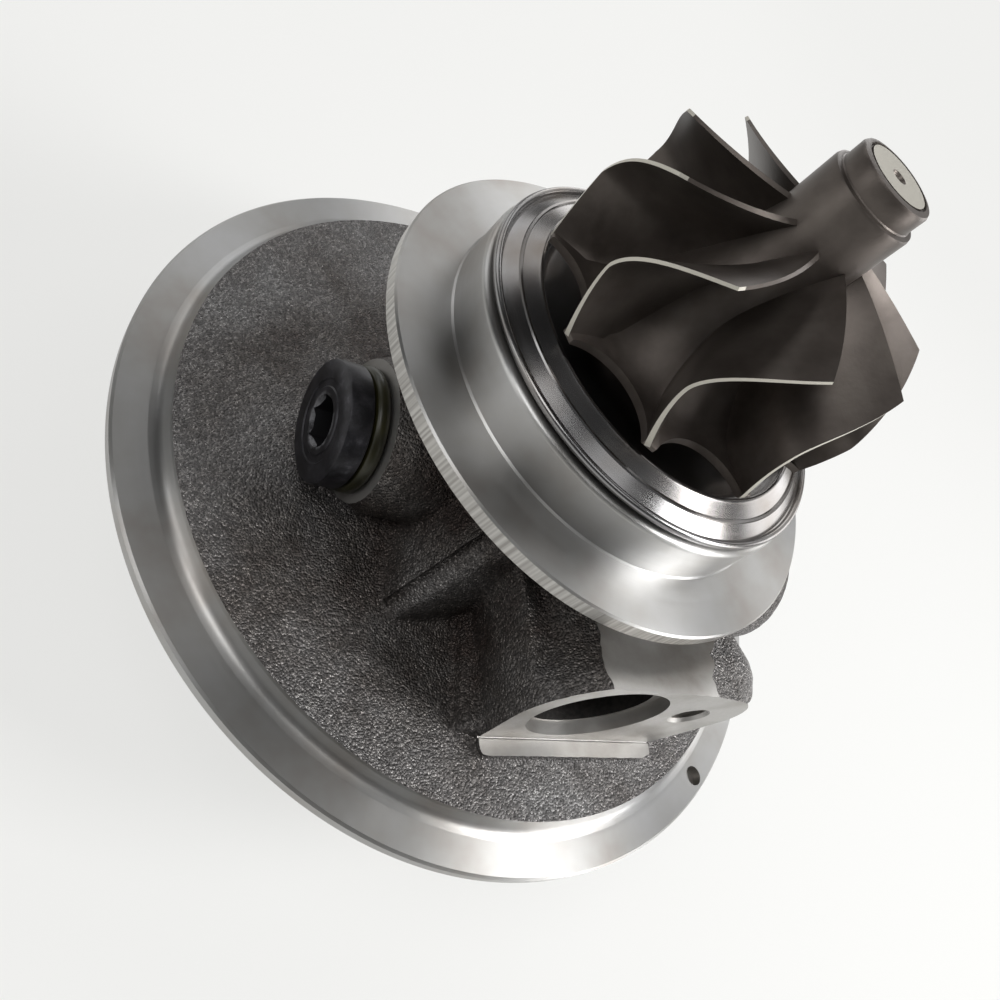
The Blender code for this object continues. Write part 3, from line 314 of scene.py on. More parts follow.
# Grey iron as cast in sand: grains of about 0.3 mm stand out as a dark skin, and single grains are painted
# light as painted glints. Towards the neck a warm brown film of oil and rust, with painted shade, darkens the
# hollows.
def sand_cast_iron():
    made = new_material("sand_cast_grey_iron", "#5a5653", 0.6, 0.45)
    place = add(made, "ShaderNodeTexCoord").outputs["Object"]
    radius = from_axis(made, place)[0]
    patches = add(made, "ShaderNodeTexNoise", {"Vector": place}, Scale=70.0, Detail=4.0, Roughness=0.6)
    # Darker towards the neck: partly a real film of oil and rust, partly painted shade of the hollows;
    # lighter at the rim.
    film = add(
        made, "ShaderNodeMapRange", {"Value": radius},
        From_Min=0.025, From_Max=0.047, To_Min=-0.14, To_Max=0.12,
    )
    rust_and_painted_shade = add(
        made, "ShaderNodeMath", {0: patches.outputs["Fac"], 1: film.outputs["Result"]}, operation="ADD",
    )
    tint = colours(
        made, rust_and_painted_shade.outputs[0], (0.3, "#524844"), (0.45, "#6e6966"), (0.6, "#868382"), (0.8, "#959494"),
    )
    grains = add(made, "ShaderNodeTexVoronoi", {"Vector": place}, Scale=3300.0, Randomness=1.0)
    sand = add(made, "ShaderNodeTexNoise", {"Vector": place}, Scale=1900.0, Detail=4.0, Roughness=0.6)
    # The lightest grains in this ramp are painted glints; the lower roughness given to them below adds real
    # ones.
    shade = colours(made, grains.outputs["Color"], (0.2, "#5c5b5a"), (0.55, "#7f7e7d"), (0.8, "#bcbbb9"))
    both = add(
        made, "ShaderNodeMix", {"A": tint, "B": shade}, data_type="RGBA", blend_type="OVERLAY", Factor=0.8,
    )
    feed(made, "Base Color", both.outputs["Result"])
    feed(made, "Roughness", spread(made, grains.outputs["Color"], 0.5, 0.22))
    height = add(
        made, "ShaderNodeMath", {0: sand.outputs["Fac"], 1: grains.outputs["Distance"]}, operation="SUBTRACT",
    )
    bump = add(made, "ShaderNodeBump", {"Height": height.outputs[0]}, Strength=1.0, Distance=0.00022)
    feed(made, "Normal", bump.outputs["Normal"])
    return made


# The same iron turned on a lathe: feed marks of about 0.25 mm run round the shaft's axis, too fine to
# show singly, with a satin gloss that stretches across them.
def turned_iron():
    made = new_material("turned_grey_iron", "#b4b2af", 1.0, 0.3, Anisotropic=0.78, Anisotropic_Rotation=0.25)
    place = add(made, "ShaderNodeTexCoord").outputs["Object"]
    radius, level = from_axis(made, place)
    along = add(made, "ShaderNodeCombineXYZ", {"X": radius, "Z": level}).outputs[0]
    marks = add(made, "ShaderNodeTexNoise", {"Vector": along}, Scale=3800.0, Detail=2.0, Roughness=0.5)
    stain = add(made, "ShaderNodeTexNoise", {"Vector": place}, Scale=55.0, Detail=4.0, Roughness=0.6)
    tint = colours(made, stain.outputs["Fac"], (0.3, "#9d9893"), (0.5, "#abaaa8"), (0.7, "#b4b4b4"))
    feed(made, "Base Color", tint)
    feed(made, "Roughness", spread(made, marks.outputs["Fac"], 0.3, 0.44))
    bump = add(made, "ShaderNodeBump", {"Height": marks.outputs["Fac"]}, Strength=0.12, Distance=0.00003)
    feed(made, "Normal", bump.outputs["Normal"])
    round_axis = add(made, "ShaderNodeTangent", direction_type="RADIAL", axis="Z")
    feed(made, "Tangent", round_axis.outputs["Tangent"])
    return made


# The same iron milled and drilled: pale and matt, because the cutter tears the graphite out of the face
# and leaves pores of about 0.4 mm.
def milled_iron():
    made = new_material("milled_grey_iron", "#a5a3a0", 0.9, 0.46)
    place = add(made, "ShaderNodeTexCoord").outputs["Object"]
    pores = add(made, "ShaderNodeTexNoise", {"Vector": place}, Scale=2600.0, Detail=2.0)
    stain = add(made, "ShaderNodeTexNoise", {"Vector": place}, Scale=160.0, Detail=3.0)
    feed(made, "Base Color", colours(made, stain.outputs["Fac"], (0.3, "#98948f"), (0.6, "#b0aeab")))
    feed(made, "Roughness", spread(made, pores.outputs["Fac"], 0.36, 0.58))
    bump = add(made, "ShaderNodeBump", {"Height": pores.outputs["Fac"]}, Strength=0.35, Distance=0.00003)
    feed(made, "Normal", bump.outputs["Normal"])
    return made


# The flange's edge is turned with a form tool that chattered: ticks about 0.5 mm apart stand across it.
def chattered_iron():
    made = new_material("chattered_grey_iron", "#a9a6a2", 1.0, 0.34)
    place = add(made, "ShaderNodeTexCoord").outputs["Object"]
    turn = add(made, "ShaderNodeTexGradient", {"Vector": place}, gradient_type="RADIAL").outputs["Fac"]
    round_edge = add(made, "ShaderNodeCombineXYZ", {"X": turn}).outputs[0]
    ticks = add(made, "ShaderNodeTexNoise", {"Vector": round_edge}, Scale=420.0, Detail=1.0)
    feed(made, "Base Color", colours(made, ticks.outputs["Fac"], (0.38, "#9b9894"), (0.62, "#c6c4c0")))
    feed(made, "Roughness", spread(made, ticks.outputs["Fac"], 0.26, 0.5))
    bump = add(made, "ShaderNodeBump", {"Height": ticks.outputs["Fac"]}, Strength=0.5, Distance=0.00012)
    feed(made, "Normal", bump.outputs["Normal"])
    return made


# The cast skin inside the oil drain, painted nearly black as painted shade of the deep drain.
def drain_shade_iron():
    made = new_material("drain_iron_painted_shade", "#1d1a18", 0.3, 0.5)
    place = add(made, "ShaderNodeTexCoord").outputs["Object"]
    sand = add(made, "ShaderNodeTexNoise", {"Vector": place}, Scale=1500.0, Detail=3.0)
    feed(made, "Base Color", colours(made, sand.outputs["Fac"], (0.35, "#141210"), (0.7, "#2a2623")))
    bump = add(made, "ShaderNodeBump", {"Height": sand.outputs["Fac"]}, Strength=0.6, Distance=0.00012)
    feed(made, "Normal", bump.outputs["Normal"])
    return made


IRON = (sand_cast_iron(), turned_iron(), milled_iron(), chattered_iron(), drain_shade_iron())
CAST, TURNED, MILLED, CHATTERED, DRAIN_SHADE = range(len(IRON))


def finished_in(piece, *materials, index=0):
    """Give a piece its materials, and all its faces one of them."""
    piece.data.materials.clear()
    for made in materials:
        piece.data.materials.append(made)
    for face in piece.data.polygons:
        face.material_index = index
    return piece


def casting():
    """The rough casting, with stock where it is machined, merged by remeshing so that its corners fill."""
    neck_foot = smooth_line([(34.0, 5.0), (28.5, 5.4), (24.5, 7.6), (NECK_R, 13.0)])
    neck_top = smooth_line([(NECK_R, 24.5), (23.2, 26.8), (26.5, 28.0), (FLANGE_STOCK_R, 30.2)])
    web = [(DISC_R + TURNING_STOCK, -PILOT_H - TURNING_STOCK), (DISC_R + TURNING_STOCK, WEB_Z)]
    web += [(50.0, WEB_Z), (40.0, 4.85)]
    top = [(FLANGE_STOCK_R, STOCK_TOP_Z), (20.0, STOCK_TOP_Z)]
    body = turned("bearing_housing", web + neck_foot + neck_top + top, flats=160)
    body = joined(body, drain_neck(), drain_flange(), corner_block())
    rib = round_bar("rib", (-11.9, -39.4, 5.6), (-10.3, -24.5, 6.0), 1.9, end_radius=1.6, flats=32)
    plug_boss = round_bar(
        "plug_boss", (-27.0, PLUG_Y, PLUG_Z), (-12.0, PLUG_Y, PLUG_Z), PLUG_BOSS_R, end_radius=11.2,
    )
    plug_face = round_bar(
        "plug_face", (-31.0, PLUG_Y, PLUG_Z), (-26.6, PLUG_Y, PLUG_Z), 9.0, end_radius=PLUG_BOSS_R,
    )
    open_end = OPEN_FACE_X + PORT_STOCK
    open_boss = round_bar("open_boss", (open_end, OPEN_Y, OPEN_Z), (8.0, OPEN_Y, OPEN_Z), OPEN_BOSS_R)
    inlet_end = INLET_FACE_Y + PORT_STOCK
    inlet = round_bar("inlet", (0, inlet_end, INLET_Z), (0, 14.0, INLET_Z), INLET_BOSS_R)
    body = joined(body, rib, plug_boss, plug_face, open_boss, inlet)
    modified(body, "REMESH", mode="VOXEL", voxel_size=CAST_VOXEL * MM)
    modified(body, "SMOOTH", factor=0.5, iterations=4)
    skin = bpy.data.textures.new("sand_skin", "CLOUDS")
    skin.noise_scale = SKIN_LUMP * MM
    skin.noise_depth = 1
    modified(body, "DISPLACE", texture=skin, strength=SKIN_DEPTH * MM, mid_level=0.5, texture_coords="LOCAL")
    return body


def drain_flange():
    """The flange of the drain, with the lobe of its bolt, which flares down to the neck behind it."""
    ring_y = (DRAIN_STOCK_Y, PLATE_BACK_Y)
    lobe_x = BOLT_X + 0.6
    plate = joined(
        round_bar("ring", (0, ring_y[0], DRAIN_Z), (0, ring_y[1], DRAIN_Z), DRAIN_RING_R),
        round_bar("lobe", (lobe_x, ring_y[0], LOBE_Z), (lobe_x, ring_y[1], LOBE_Z), LOBE_R),
        block("foot", (FOOT_LEFT, ring_y[0], FOOT_Z), (FOOT_RIGHT, ring_y[1], FOOT_TOP)),
    )
    flare = joined(
        round_bar("ring", (0, FLARE_Y, DRAIN_Z), (0, -32.6, DRAIN_Z), DRAIN_RING_R, end_radius=DRAIN_NECK_R),
        round_bar("lobe", (BOLT_X, FLARE_Y, LOBE_Z), (BOLT_X, FLARE_END_Y, LOBE_Z), LOBE_R - 0.2),
        block("foot", (FOOT_LEFT, FLARE_Y, FOOT_Z), (FOOT_RIGHT, FLARE_END_Y, FOOT_TOP)),
    )
    step = block("step", (-10.2, -42.5, FOOT_Z), (18.9, -36.0, 8.5))
    return joined(skinned(plate), skinned(flare), step)


def drain_neck():
    """The neck of the drain: a straight drafted side towards the corner block, and round above."""
    lobe_from, lobe_to = (BOLT_X + 0.6, FLARE_Y, LOBE_Z), (BOLT_X, NECK_END_Y, BOLT_Z - 1.2)
    neck = joined(
        round_bar("tube", (0, FLARE_Y, DRAIN_Z), (0, -11.0, DRAIN_Z), DRAIN_NECK_R, end_radius=9.2),
        round_bar("lobe", lobe_from, lobe_to, 7.7, end_radius=7.2),
        block("foot", (FOOT_LEFT, FLARE_Y, FOOT_Z), (FOOT_RIGHT, NECK_END_Y, FOOT_TOP)),
    )
    side_x, side_low, side_top = -6.0, 14.0, 20.8
    side = joined(
        block("side", (-11.9, NECK_SIDE_Y, side_low), (side_x, -37.0, side_top)),
        block("side", (-11.4, -24.0, side_low), (side_x, NECK_END_Y, side_top)),
        block("foot", (FOOT_LEFT, NECK_SIDE_Y, FOOT_Z), (side_x, NECK_END_Y, 5.0)),
    )
    near, widest = (BOLT_X + 3.2, NECK_SIDE_Y, BOLT_Z - 0.6), (BOLT_X + 3.4, -35.2, BOLT_Z - 0.7)
    far = (BOLT_X + 2.6, -30.0, BOLT_Z - 0.8)
    bulge_r, bulge_end_r = 8.3, 7.4
    bulge = joined(
        round_bar("bulge", near, widest, bulge_end_r, end_radius=bulge_r),
        round_bar("bulge", widest, far, bulge_r, end_radius=bulge_end_r),
    )
    return joined(skinned(neck), skinned(side), bulge)


def corner_block():
    """The block between the plugged port and the drain. A hollow lies behind its top edge."""
    foot = [(-21.4, -12.0, FOOT_Z), (-22.7, -22.2, FOOT_Z), (-21.5, -24.7, FOOT_Z), (-4.0, -22.8, FOOT_Z)]
    sill = [(x, y, WEB_TOP_Z) for x, y, z in foot]
    top = [(-18.0, -12.2, 19.4), (-16.9, -19.4, 22.4), (-15.2, -21.6, 22.4), (-4.0, -21.4, 20.8)]
    inner = [(-16.2, -11.0, 16.4), (-15.4, -17.2, 18.6), (-4.0, -15.0, 17.0), (-9.0, -9.0, 5.0)]
    made = None
    for x, y, z in foot + sill + top + inner:
        bpy.ops.object.select_all(action="DESELECT")
        bpy.ops.mesh.primitive_cube_add(size=0.3 * MM, location=(x * MM, y * MM, z * MM))
        knot = settle("corner")
        made = knot if made is None else joined(made, knot)
    return skinned(made)


def parting_groove(body):
    """The narrow groove that the mould's core leaves along the corner block's edge."""
    groove = round_bar("groove", (-22.5, -22.7, WEB_TOP_Z), (-16.8, -19.1, 22.0), 0.6, flats=24)
    carve(body, finished_in(groove, *IRON, index=CAST))


def turning_envelope():
    """All that the lathe tool leaves: rim, front ring with its fillet, clamp hollow, flange and spigot."""
    edge_z = FLANGE_Z - FLANGE_EDGE
    ring_fillet = smooth_line([(53.0, RIM_T), (51.9, 2.45), (51.2, 3.1), (RING_R, 4.2)], 4)
    hollow = smooth_line([
        (43.2, 27.7), (40.3, 28.0), (38.2, 27.5), (35.7, 26.6),
        (32.7, 25.8), (30.2, 25.7), (28.2, 26.6), (27.2, 28.4),
    ])
    outline = [
        (PILOT_R - 0.6, -PILOT_H), (PILOT_R, -PILOT_H + 0.6), (PILOT_R, -0.3), (PILOT_R - 0.3, -0.15),
        (PILOT_R, 0.0), (DISC_R - 0.4, 0.0), (DISC_R, 0.4), (DISC_R, RIM_T - 0.35), (DISC_R - 0.35, RIM_T),
    ]
    outline += ring_fillet + [(RING_R - 0.1, 6.6), (CLEAR_R, 6.8), (CLEAR_R, 27.2)] + hollow
    outline += [
        (FLANGE_R - 0.25, edge_z - 0.1), (FLANGE_R, edge_z + 0.15), (FLANGE_R, FLANGE_Z - 0.25),
        (FLANGE_R - 0.25, FLANGE_Z), (SPIGOT_R + 0.25, FLANGE_Z), (SPIGOT_R, FLANGE_Z + 0.25),
        (SPIGOT_R, SPIGOT_Z - 0.75), (SPIGOT_R - 0.12, SPIGOT_Z - 0.35), (SPIGOT_R - 0.35, SPIGOT_Z - 0.12),
        (SPIGOT_R - 0.75, SPIGOT_Z),
    ]
    return turned("envelope", outline, flats=256)


def thread_cutter(name, mouth, bottom, core_r, pitch, flats=48):
    """A drill of V-shaped rings, which leaves the look of a tapped hole with a chamfered mouth."""
    depth = (Vector(bottom) - Vector(mouth)).length
    chamfer, first_z, thread_share = 0.9, -0.5, 0.54
    profile = [(core_r + chamfer, 1.5), (core_r + chamfer, 0.4), (core_r, first_z)]
    for number in range(int(depth / pitch)):
        z = first_z - number * pitch
        profile += [(core_r + thread_share * pitch, z - pitch / 2), (core_r, z - pitch)]
    made = turned(name, profile, flats=flats)
    turn = (Vector(mouth) - Vector(bottom)).to_track_quat("Z", "Y").to_matrix().to_4x4()
    made.data.transform(Matrix.Translation(Vector(mouth) * MM) @ turn)
    return made


def mill(body):
    """Milled faces: the drain flange with its ledge, and the port faces. Cutters reach past the casting."""
    drain = block("drain_face", (-45, -70, LEDGE_Z), (50, DRAIN_Y, 60))
    plug = block("plug_face", (-45, -16, 5.8), (PLUG_FACE_X, 11, 26.0))
    port = block("port_face", (OPEN_FACE_X, -27, WEB_TOP_Z), (50, 2, 40))
    inlet = block("inlet_face", (-14, INLET_FACE_Y, WEB_TOP_Z), (14, 45, 30))
    carve(body, finished_in(joined(drain, plug, port, inlet), *IRON, index=MILLED))
    relief = round_bar("relief", (-13.0, DRAIN_Y, LEDGE_Z), (21.0, DRAIN_Y, LEDGE_Z), 0.2, flats=16)
    carve(body, finished_in(relief, *IRON, index=MILLED))


def drill(body):
    """Bores: shaft bore, shield recess, drain, ports, tapped hole and locating hole."""
    shaft = turned("shaft_bore", [
        (SEAL_PLATE_SEAT_R, -8.0), (SEAL_PLATE_SEAT_R, SEAL_PLATE_SEAT_Z),
        (THRUST_SEAT_R, SEAL_PLATE_SEAT_Z), (THRUST_SEAT_R, THRUST_SEAT_Z),
        (WASHER_POCKET_R, THRUST_SEAT_Z), (WASHER_POCKET_R, WASHER_POCKET_Z),
        (BUSH_BORE_R, WASHER_POCKET_Z), (BUSH_BORE_R, BUSH_BORE_END),
        (SLINGER_POCKET_R, BUSH_BORE_END), (SLINGER_POCKET_R, SLINGER_POCKET_END),
        (SEAL_BORE_R, SLINGER_POCKET_END), (SEAL_BORE_R, PAST_TOP_Z),
    ], flats=96)
    recess = turned("recess", [
        (SHIELD_RECESS_R, SHIELD_RECESS_Z), (SHIELD_RECESS_R, PAST_TOP_Z), (SNOUT_R, PAST_TOP_Z),
        (SNOUT_R, SHIELD_RECESS_Z), (SHIELD_RECESS_R, SHIELD_RECESS_Z),
    ], flats=128, solid=False)
    plug_from, plug_to = (PLUG_FACE_X - 1, PLUG_Y, PLUG_Z), (-17.0, PLUG_Y, PLUG_Z)
    plug = round_bar("plug_hole", plug_from, plug_to, PLUG_HOLE_R, flats=64)
    mouth, bottom = (OPEN_FACE_X, OPEN_Y, OPEN_Z), (OPEN_FACE_X - 16.0, OPEN_Y, OPEN_Z)
    port = thread_cutter("port", mouth, bottom, PORT_HOLE_R, 1.5, flats=72)
    mouth, bottom = (0, INLET_FACE_Y, INLET_Z), (0, 22.0, INLET_Z)
    inlet = thread_cutter("inlet", mouth, bottom, INLET_HOLE_R, 1.25, flats=64)
    bolt = thread_cutter("bolt", (BOLT_X, DRAIN_Y, BOLT_Z), (BOLT_X, -28.0, BOLT_Z), 2.5, 1.0)
    turn = math.radians(LOCATING_ANGLE)
    x, y = LOCATING_PITCH_R * math.cos(turn), LOCATING_PITCH_R * math.sin(turn)
    locating = round_bar("locating", (x, y, 0.7), (x, y, 4.0), LOCATING_R, flats=40)
    carve(body, finished_in(joined(shaft, recess), *IRON, index=TURNED))
    carve(body, finished_in(joined(plug, port, inlet, bolt, locating), *IRON, index=MILLED))
    drain = round_bar("drain", (0, -38.2, DRAIN_Z), (0, -48.0, DRAIN_Z), DRAIN_R, flats=128)
    carve(body, finished_in(drain, *IRON, index=MILLED))
    # The drain's throat gets the nearly black painted shade.
    throat = round_bar("throat", (0, -12.0, THROAT_Z), (0, -38.6, THROAT_Z), 7.6, flats=96, end_radius=8.3)
    carve(body, finished_in(throat, *IRON, index=DRAIN_SHADE))


def part_finishes(piece):
    """A sharp edge wherever a machined face meets the cast skin, and flat faces that shade flat."""
    smoothed(piece, 35.0)
    owner = {}
    for face in piece.data.polygons:
        for key in face.edge_keys:
            owner.setdefault(key, []).append(face.material_index)
    for edge in piece.data.edges:
        if len(set(owner[edge.key])) > 1:
            edge.use_edge_sharp = True
    modified(piece, "WEIGHTED_NORMAL", keep_sharp=True, weight=60)


def chatter(piece):
    """The flange's outer edge gets the chattered finish, and the hollow beside it is left matt."""
    edge_z = FLANGE_Z - FLANGE_EDGE
    for face in piece.data.polygons:
        radius, level = face.center.xy.length, face.center.z
        if face.material_index == TURNED and radius > CLAMP_HOLLOW_R * MM:
            if CLAMP_HOLLOW_LOW * MM < level < CLAMP_HOLLOW_TOP * MM:
                face.material_index = MILLED
        upright = abs(face.normal.z) < 0.2 and level > edge_z * MM
        if face.material_index == TURNED and upright and radius > (FLANGE_R - 0.2) * MM:
            face.material_index = CHATTERED


housing = finished_in(casting(), *IRON, index=CAST)
carve(housing, finished_in(turning_envelope(), *IRON, index=TURNED), "INTERSECT")
parting_groove(housing)
mill(housing)
drill(housing)
chatter(housing)
part_finishes(housing)
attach(housing, "housing")
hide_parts("bearing_housing")

# Heat shield. One disc of stainless sheet 0.6 mm thick, pressed to a cup: a rolled rim on the spigot, a
# step, and a lip round the back of the turbine wheel.
SHIELD_SEAT = SPIGOT_Z + 0.3


# Pressed stainless steel: bright, with faint rings from the tool and a little heat tint.
def pressed_stainless():
    made = new_material(
        "pressed_stainless_steel", "#b5b0a9", 1.0, 0.17, Anisotropic=0.3, Anisotropic_Rotation=0.25,
    )
    place = add(made, "ShaderNodeTexCoord").outputs["Object"]
    radius, level = from_axis(made, place)
    along = add(made, "ShaderNodeCombineXYZ", {"X": radius, "Z": level}).outputs[0]
    rings = add(made, "ShaderNodeTexNoise", {"Vector": along}, Scale=1800.0, Detail=1.0)
    smear = add(made, "ShaderNodeTexNoise", {"Vector": place}, Scale=90.0, Detail=3.0)
    feed(made, "Base Color", colours(made, smear.outputs["Fac"], (0.3, "#746e69"), (0.6, "#8c8b8b")))
    feed(made, "Roughness", spread(made, rings.outputs["Fac"], 0.19, 0.28))
    round_axis = add(made, "ShaderNodeTangent", direction_type="RADIAL", axis="Z")
    feed(made, "Tangent", round_axis.outputs["Tangent"])
    return made


def shield_profile():
    """Upper side from the rim to the centre hole, then back along the under side."""
    rim = [(26.3, 0.3), (26.75, 0.5), (26.95, 0.9), (26.85, 1.3), (26.5, 1.5), (26.15, 1.4), (25.95, 1.05)]
    bands = [(25.8, 0.95), (24.15, 2.0), (24.05, 2.22), (23.75, 2.25), (23.6, 2.1), (22.0, 2.85)]
    lip = [(21.8, 3.0), (21.45, 3.1), (21.15, 2.9), (20.95, 2.3), (20.75, 1.6), (20.3, 1.05), (19.5, 0.87)]
    lower = [
        (9.6, 0.85), (9.6, 0.25), (19.9, 0.3), (20.9, 0.75), (21.25, 1.4), (21.4, 2.1), (21.7, 2.1),
        (22.3, 1.75), (23.0, 1.5), (23.6, 1.45), (24.0, 1.0), (24.6, 0.45), (25.2, 0.1), (25.9, 0.1),
    ]
    line = smooth_line(rim, 3) + bands + smooth_line(lip, 3) + lower
    return [(r, SHIELD_SEAT + z) for r, z in line]


shield_line = shield_profile()
shield = turned("heat_shield", shield_line + shield_line[:1], flats=256, solid=False)
finished_in(shield, pressed_stainless())
modified(smoothed(shield, 26.0), "WEIGHTED_NORMAL", keep_sharp=True, weight=60)
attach(shield, "housing")
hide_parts("heat_shield")

# Turbine wheel. An investment casting in a nickel alloy: nine blades that start radial and curl over to
# the exit, on a scalloped back disc. The blade tips are ground bright to the housing's contour.
BLADES = 9
FIRST_BLADE = 157.0
BACK_Z = 45.2
DISC_T = 1.1
TIP_R = 22.1
INLET_W = 9.0
EXIT_R, EXIT_Z = 20.2, 64.2
HUB_R, HUB_EXIT_Z = 6.1, 67.3
NOSE_Z = 73.4
SCALLOP_R, SCALLOP_FLOOR = 7.8, 17.1
INLET_SWEEP, EXIT_SWEEP = -7.5, 27.4
ROOT_T, EDGE_T = 1.4, 0.4
SHANK_R = 8.4
NOSE_TOP = NOSE_Z + 2.8
NOSE_FACE_R = 4.12


# Cast nickel alloy after running: dark brown oxide with a satin sheen, fine casting grain of about 0.4 mm.
def cast_nickel_alloy():
    made = new_material("cast_nickel_alloy", "#5a524c", 0.65, 0.42)
    place = add(made, "ShaderNodeTexCoord").outputs["Object"]
    film = add(made, "ShaderNodeTexNoise", {"Vector": place}, Scale=110.0, Detail=4.0, Roughness=0.6)
    grain = add(made, "ShaderNodeTexNoise", {"Vector": place}, Scale=2400.0, Detail=3.0)
    oxide = colours(made, film.outputs["Fac"], (0.3, "#463f3a"), (0.5, "#57504b"), (0.75, "#6a635d"))
    feed(made, "Base Color", oxide)
    feed(made, "Roughness", spread(made, film.outputs["Fac"], 0.32, 0.48))
    bump = add(made, "ShaderNodeBump", {"Height": grain.outputs["Fac"]}, Strength=0.3, Distance=0.00004)
    feed(made, "Normal", bump.outputs["Normal"])
    return made


# The same alloy where the grinding wheel has passed: bright edges with fine scratches.
def ground_alloy():
    made = new_material("ground_nickel_alloy", "#bfbbb0", 0.5, 0.4)
    place = add(made, "ShaderNodeTexCoord").outputs["Object"]
    scratch = add(made, "ShaderNodeTexNoise", {"Vector": place}, Scale=3000.0, Detail=2.0)
    feed(made, "Roughness", spread(made, scratch.outputs["Fac"], 0.3, 0.5))
    return made


def sweep(z):
    """Turn of the blade's radial fibres at a level, in degrees."""
    inlet_z = BACK_Z + INLET_W
    if z < inlet_z:
        return INLET_SWEEP * (1.0 - ((inlet_z - z) / INLET_W) ** 1.6)
    return INLET_SWEEP + EXIT_SWEEP * ((z - inlet_z) / (EXIT_Z - inlet_z)) ** 1.75


def hub_r(z):
    """Radius of the hub between the back disc and the nose."""
    low = BACK_Z + DISC_T
    share = min(max((z - low) / (HUB_EXIT_Z - 1.3 - low), 0.0), 1.0)
    return HUB_R + (SCALLOP_FLOOR - HUB_R) * (1.0 - share ** 0.7) ** 1.7


def turbine_blade_point(u, v):
    """A point of the blade's middle surface, u along the flow and v from hub to tip, both 0 to 1."""
    inlet_z = BACK_Z + INLET_W
    floor = BACK_Z + DISC_T
    tip_z = inlet_z + (EXIT_Z - inlet_z) * u
    tip_r = TIP_R + 0.3 - (TIP_R + 0.3 - EXIT_R) * u ** 1.2
    if u < 0.3:
        root_r = TIP_R + (SCALLOP_FLOOR - 1.5 - TIP_R) * u / 0.3
        root_z = BACK_Z + 0.3 + (floor - BACK_Z - 0.3) * u
    else:
        root_z = floor + (HUB_EXIT_Z - floor) * ((u - 0.25) / 0.75) ** 1.5
        root_r = hub_r(root_z) - 0.8
    z = root_z + (tip_z - root_z) * v
    r = root_r + (tip_r - root_r) * v
    turn = math.radians(sweep(z))
    return Vector((r * math.cos(turn), r * math.sin(turn), z)) * MM


def bladed(name, point, root_t, tip_t, materials, along=44, across=16):
    """A grid on the blade's middle surface, thickened most at the root, where a fillet flares out."""
    bpy.ops.object.select_all(action="DESELECT")
    bpy.ops.mesh.primitive_grid_add(x_subdivisions=along, y_subdivisions=across, size=2.0)
    piece = finished_in(settle(name), *materials)
    flare, fillet, fillet_share, edge_share = 2.4, 1.3, 0.15, 0.22
    wall = piece.vertex_groups.new(name="wall")
    for vertex in piece.data.vertices:
        u, v = (vertex.co.x + 1.0) / 2, (vertex.co.y + 1.0) / 2
        inside = min(1.0, u / edge_share)
        thick = tip_t + (root_t - tip_t) * (1.0 - v) ** 1.5 * (1.0 - 0.7 * u) * (0.3 + 0.7 * inside)
        thick += fillet * inside * (1.0 - u) * max(0.0, 1.0 - v / fillet_share) ** 2
        wall.add([vertex.index], thick / flare, "REPLACE")
        vertex.co = point(u, v)
    return modified(
        piece, "SOLIDIFY", thickness=flare * MM, offset=0.0, use_even_offset=True,
        vertex_group="wall", thickness_vertex_group=0.0, material_offset_rim=1,
    )


def copies_round(piece, count, first):
    """Turned copies of a blade about the shaft's axis, joined in one mesh."""
    blades = []
    for number in range(count):
        blade = piece.copy()
        blade.data = piece.data.copy()
        bpy.context.collection.objects.link(blade)
        blade.data.transform(Matrix.Rotation(math.radians(first + 360.0 / count * number), 4, "Z"))
        blades.append(blade)
    bpy.data.objects.remove(piece, do_unlink=True)
    return joined(*blades)


def frame_low_of(node):
    """Lowest level of a CAD node in millimetres."""
    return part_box(node)[0].z / MM


def turbine_hub():
    """Shank, back disc, the hub's curve between the blades, and the nose with its raised rim and centre."""
    floor = BACK_Z + DISC_T
    shank = frame_low_of("turbine_wheel")
    outline = [
        (SHANK_R, shank), (SHANK_R, BACK_Z - 1.2), (8.6, BACK_Z - 0.5), (9.2, BACK_Z),
        (TIP_R - 0.2, BACK_Z), (TIP_R, BACK_Z + 0.2), (TIP_R, floor - 0.3), (TIP_R - 0.2, floor - 0.15),
        (SCALLOP_FLOOR + 1.5, floor),
    ]
    steps = 26
    for step in range(steps):
        z = floor + (HUB_EXIT_Z - 1.3 - floor) * (step / (steps - 1)) ** 1.3
        outline.append((hub_r(z), z))
    outline += [
        (HUB_R, NOSE_Z - 0.5), (HUB_R - 0.12, NOSE_Z - 0.15), (HUB_R - 0.5, NOSE_Z), (5.45, NOSE_Z),
        (5.3, NOSE_Z + 0.15), (5.3, NOSE_Z + 2.3), (5.1, NOSE_Z + 2.65), (4.6, NOSE_TOP), (4.45, NOSE_TOP),
        (4.4, NOSE_Z + 2.45), (4.15, NOSE_Z + 2.45), (4.1, NOSE_TOP), (1.0, NOSE_TOP),
        (0.6, NOSE_Z + 2.1), (0.05, NOSE_Z + 1.8),
    ]
    return turned("turbine_wheel", outline, flats=180)


def scallops():
    """Nine round cutters that notch the back disc between the blades."""
    cutters = []
    centre_r = SCALLOP_FLOOR + SCALLOP_R
    for number in range(BLADES):
        turn = math.radians(FIRST_BLADE + 360.0 / BLADES * (number + 0.5))
        x, y = centre_r * math.cos(turn), centre_r * math.sin(turn)
        low, high = (x, y, BACK_Z - 2), (x, y, BACK_Z + DISC_T + 1)
        cutters.append(round_bar("scallop", low, high, SCALLOP_R, flats=96))
    return joined(*cutters)


ALLOY = (cast_nickel_alloy(), ground_alloy())
OXIDE, BRIGHT = range(len(ALLOY))
wheel = finished_in(turbine_hub(), *ALLOY)
carve(wheel, finished_in(scallops(), *ALLOY))
blade = bladed("turbine_blade", turbine_blade_point, ROOT_T, EDGE_T, ALLOY)
carve(wheel, copies_round(blade, BLADES, FIRST_BLADE), "UNION")
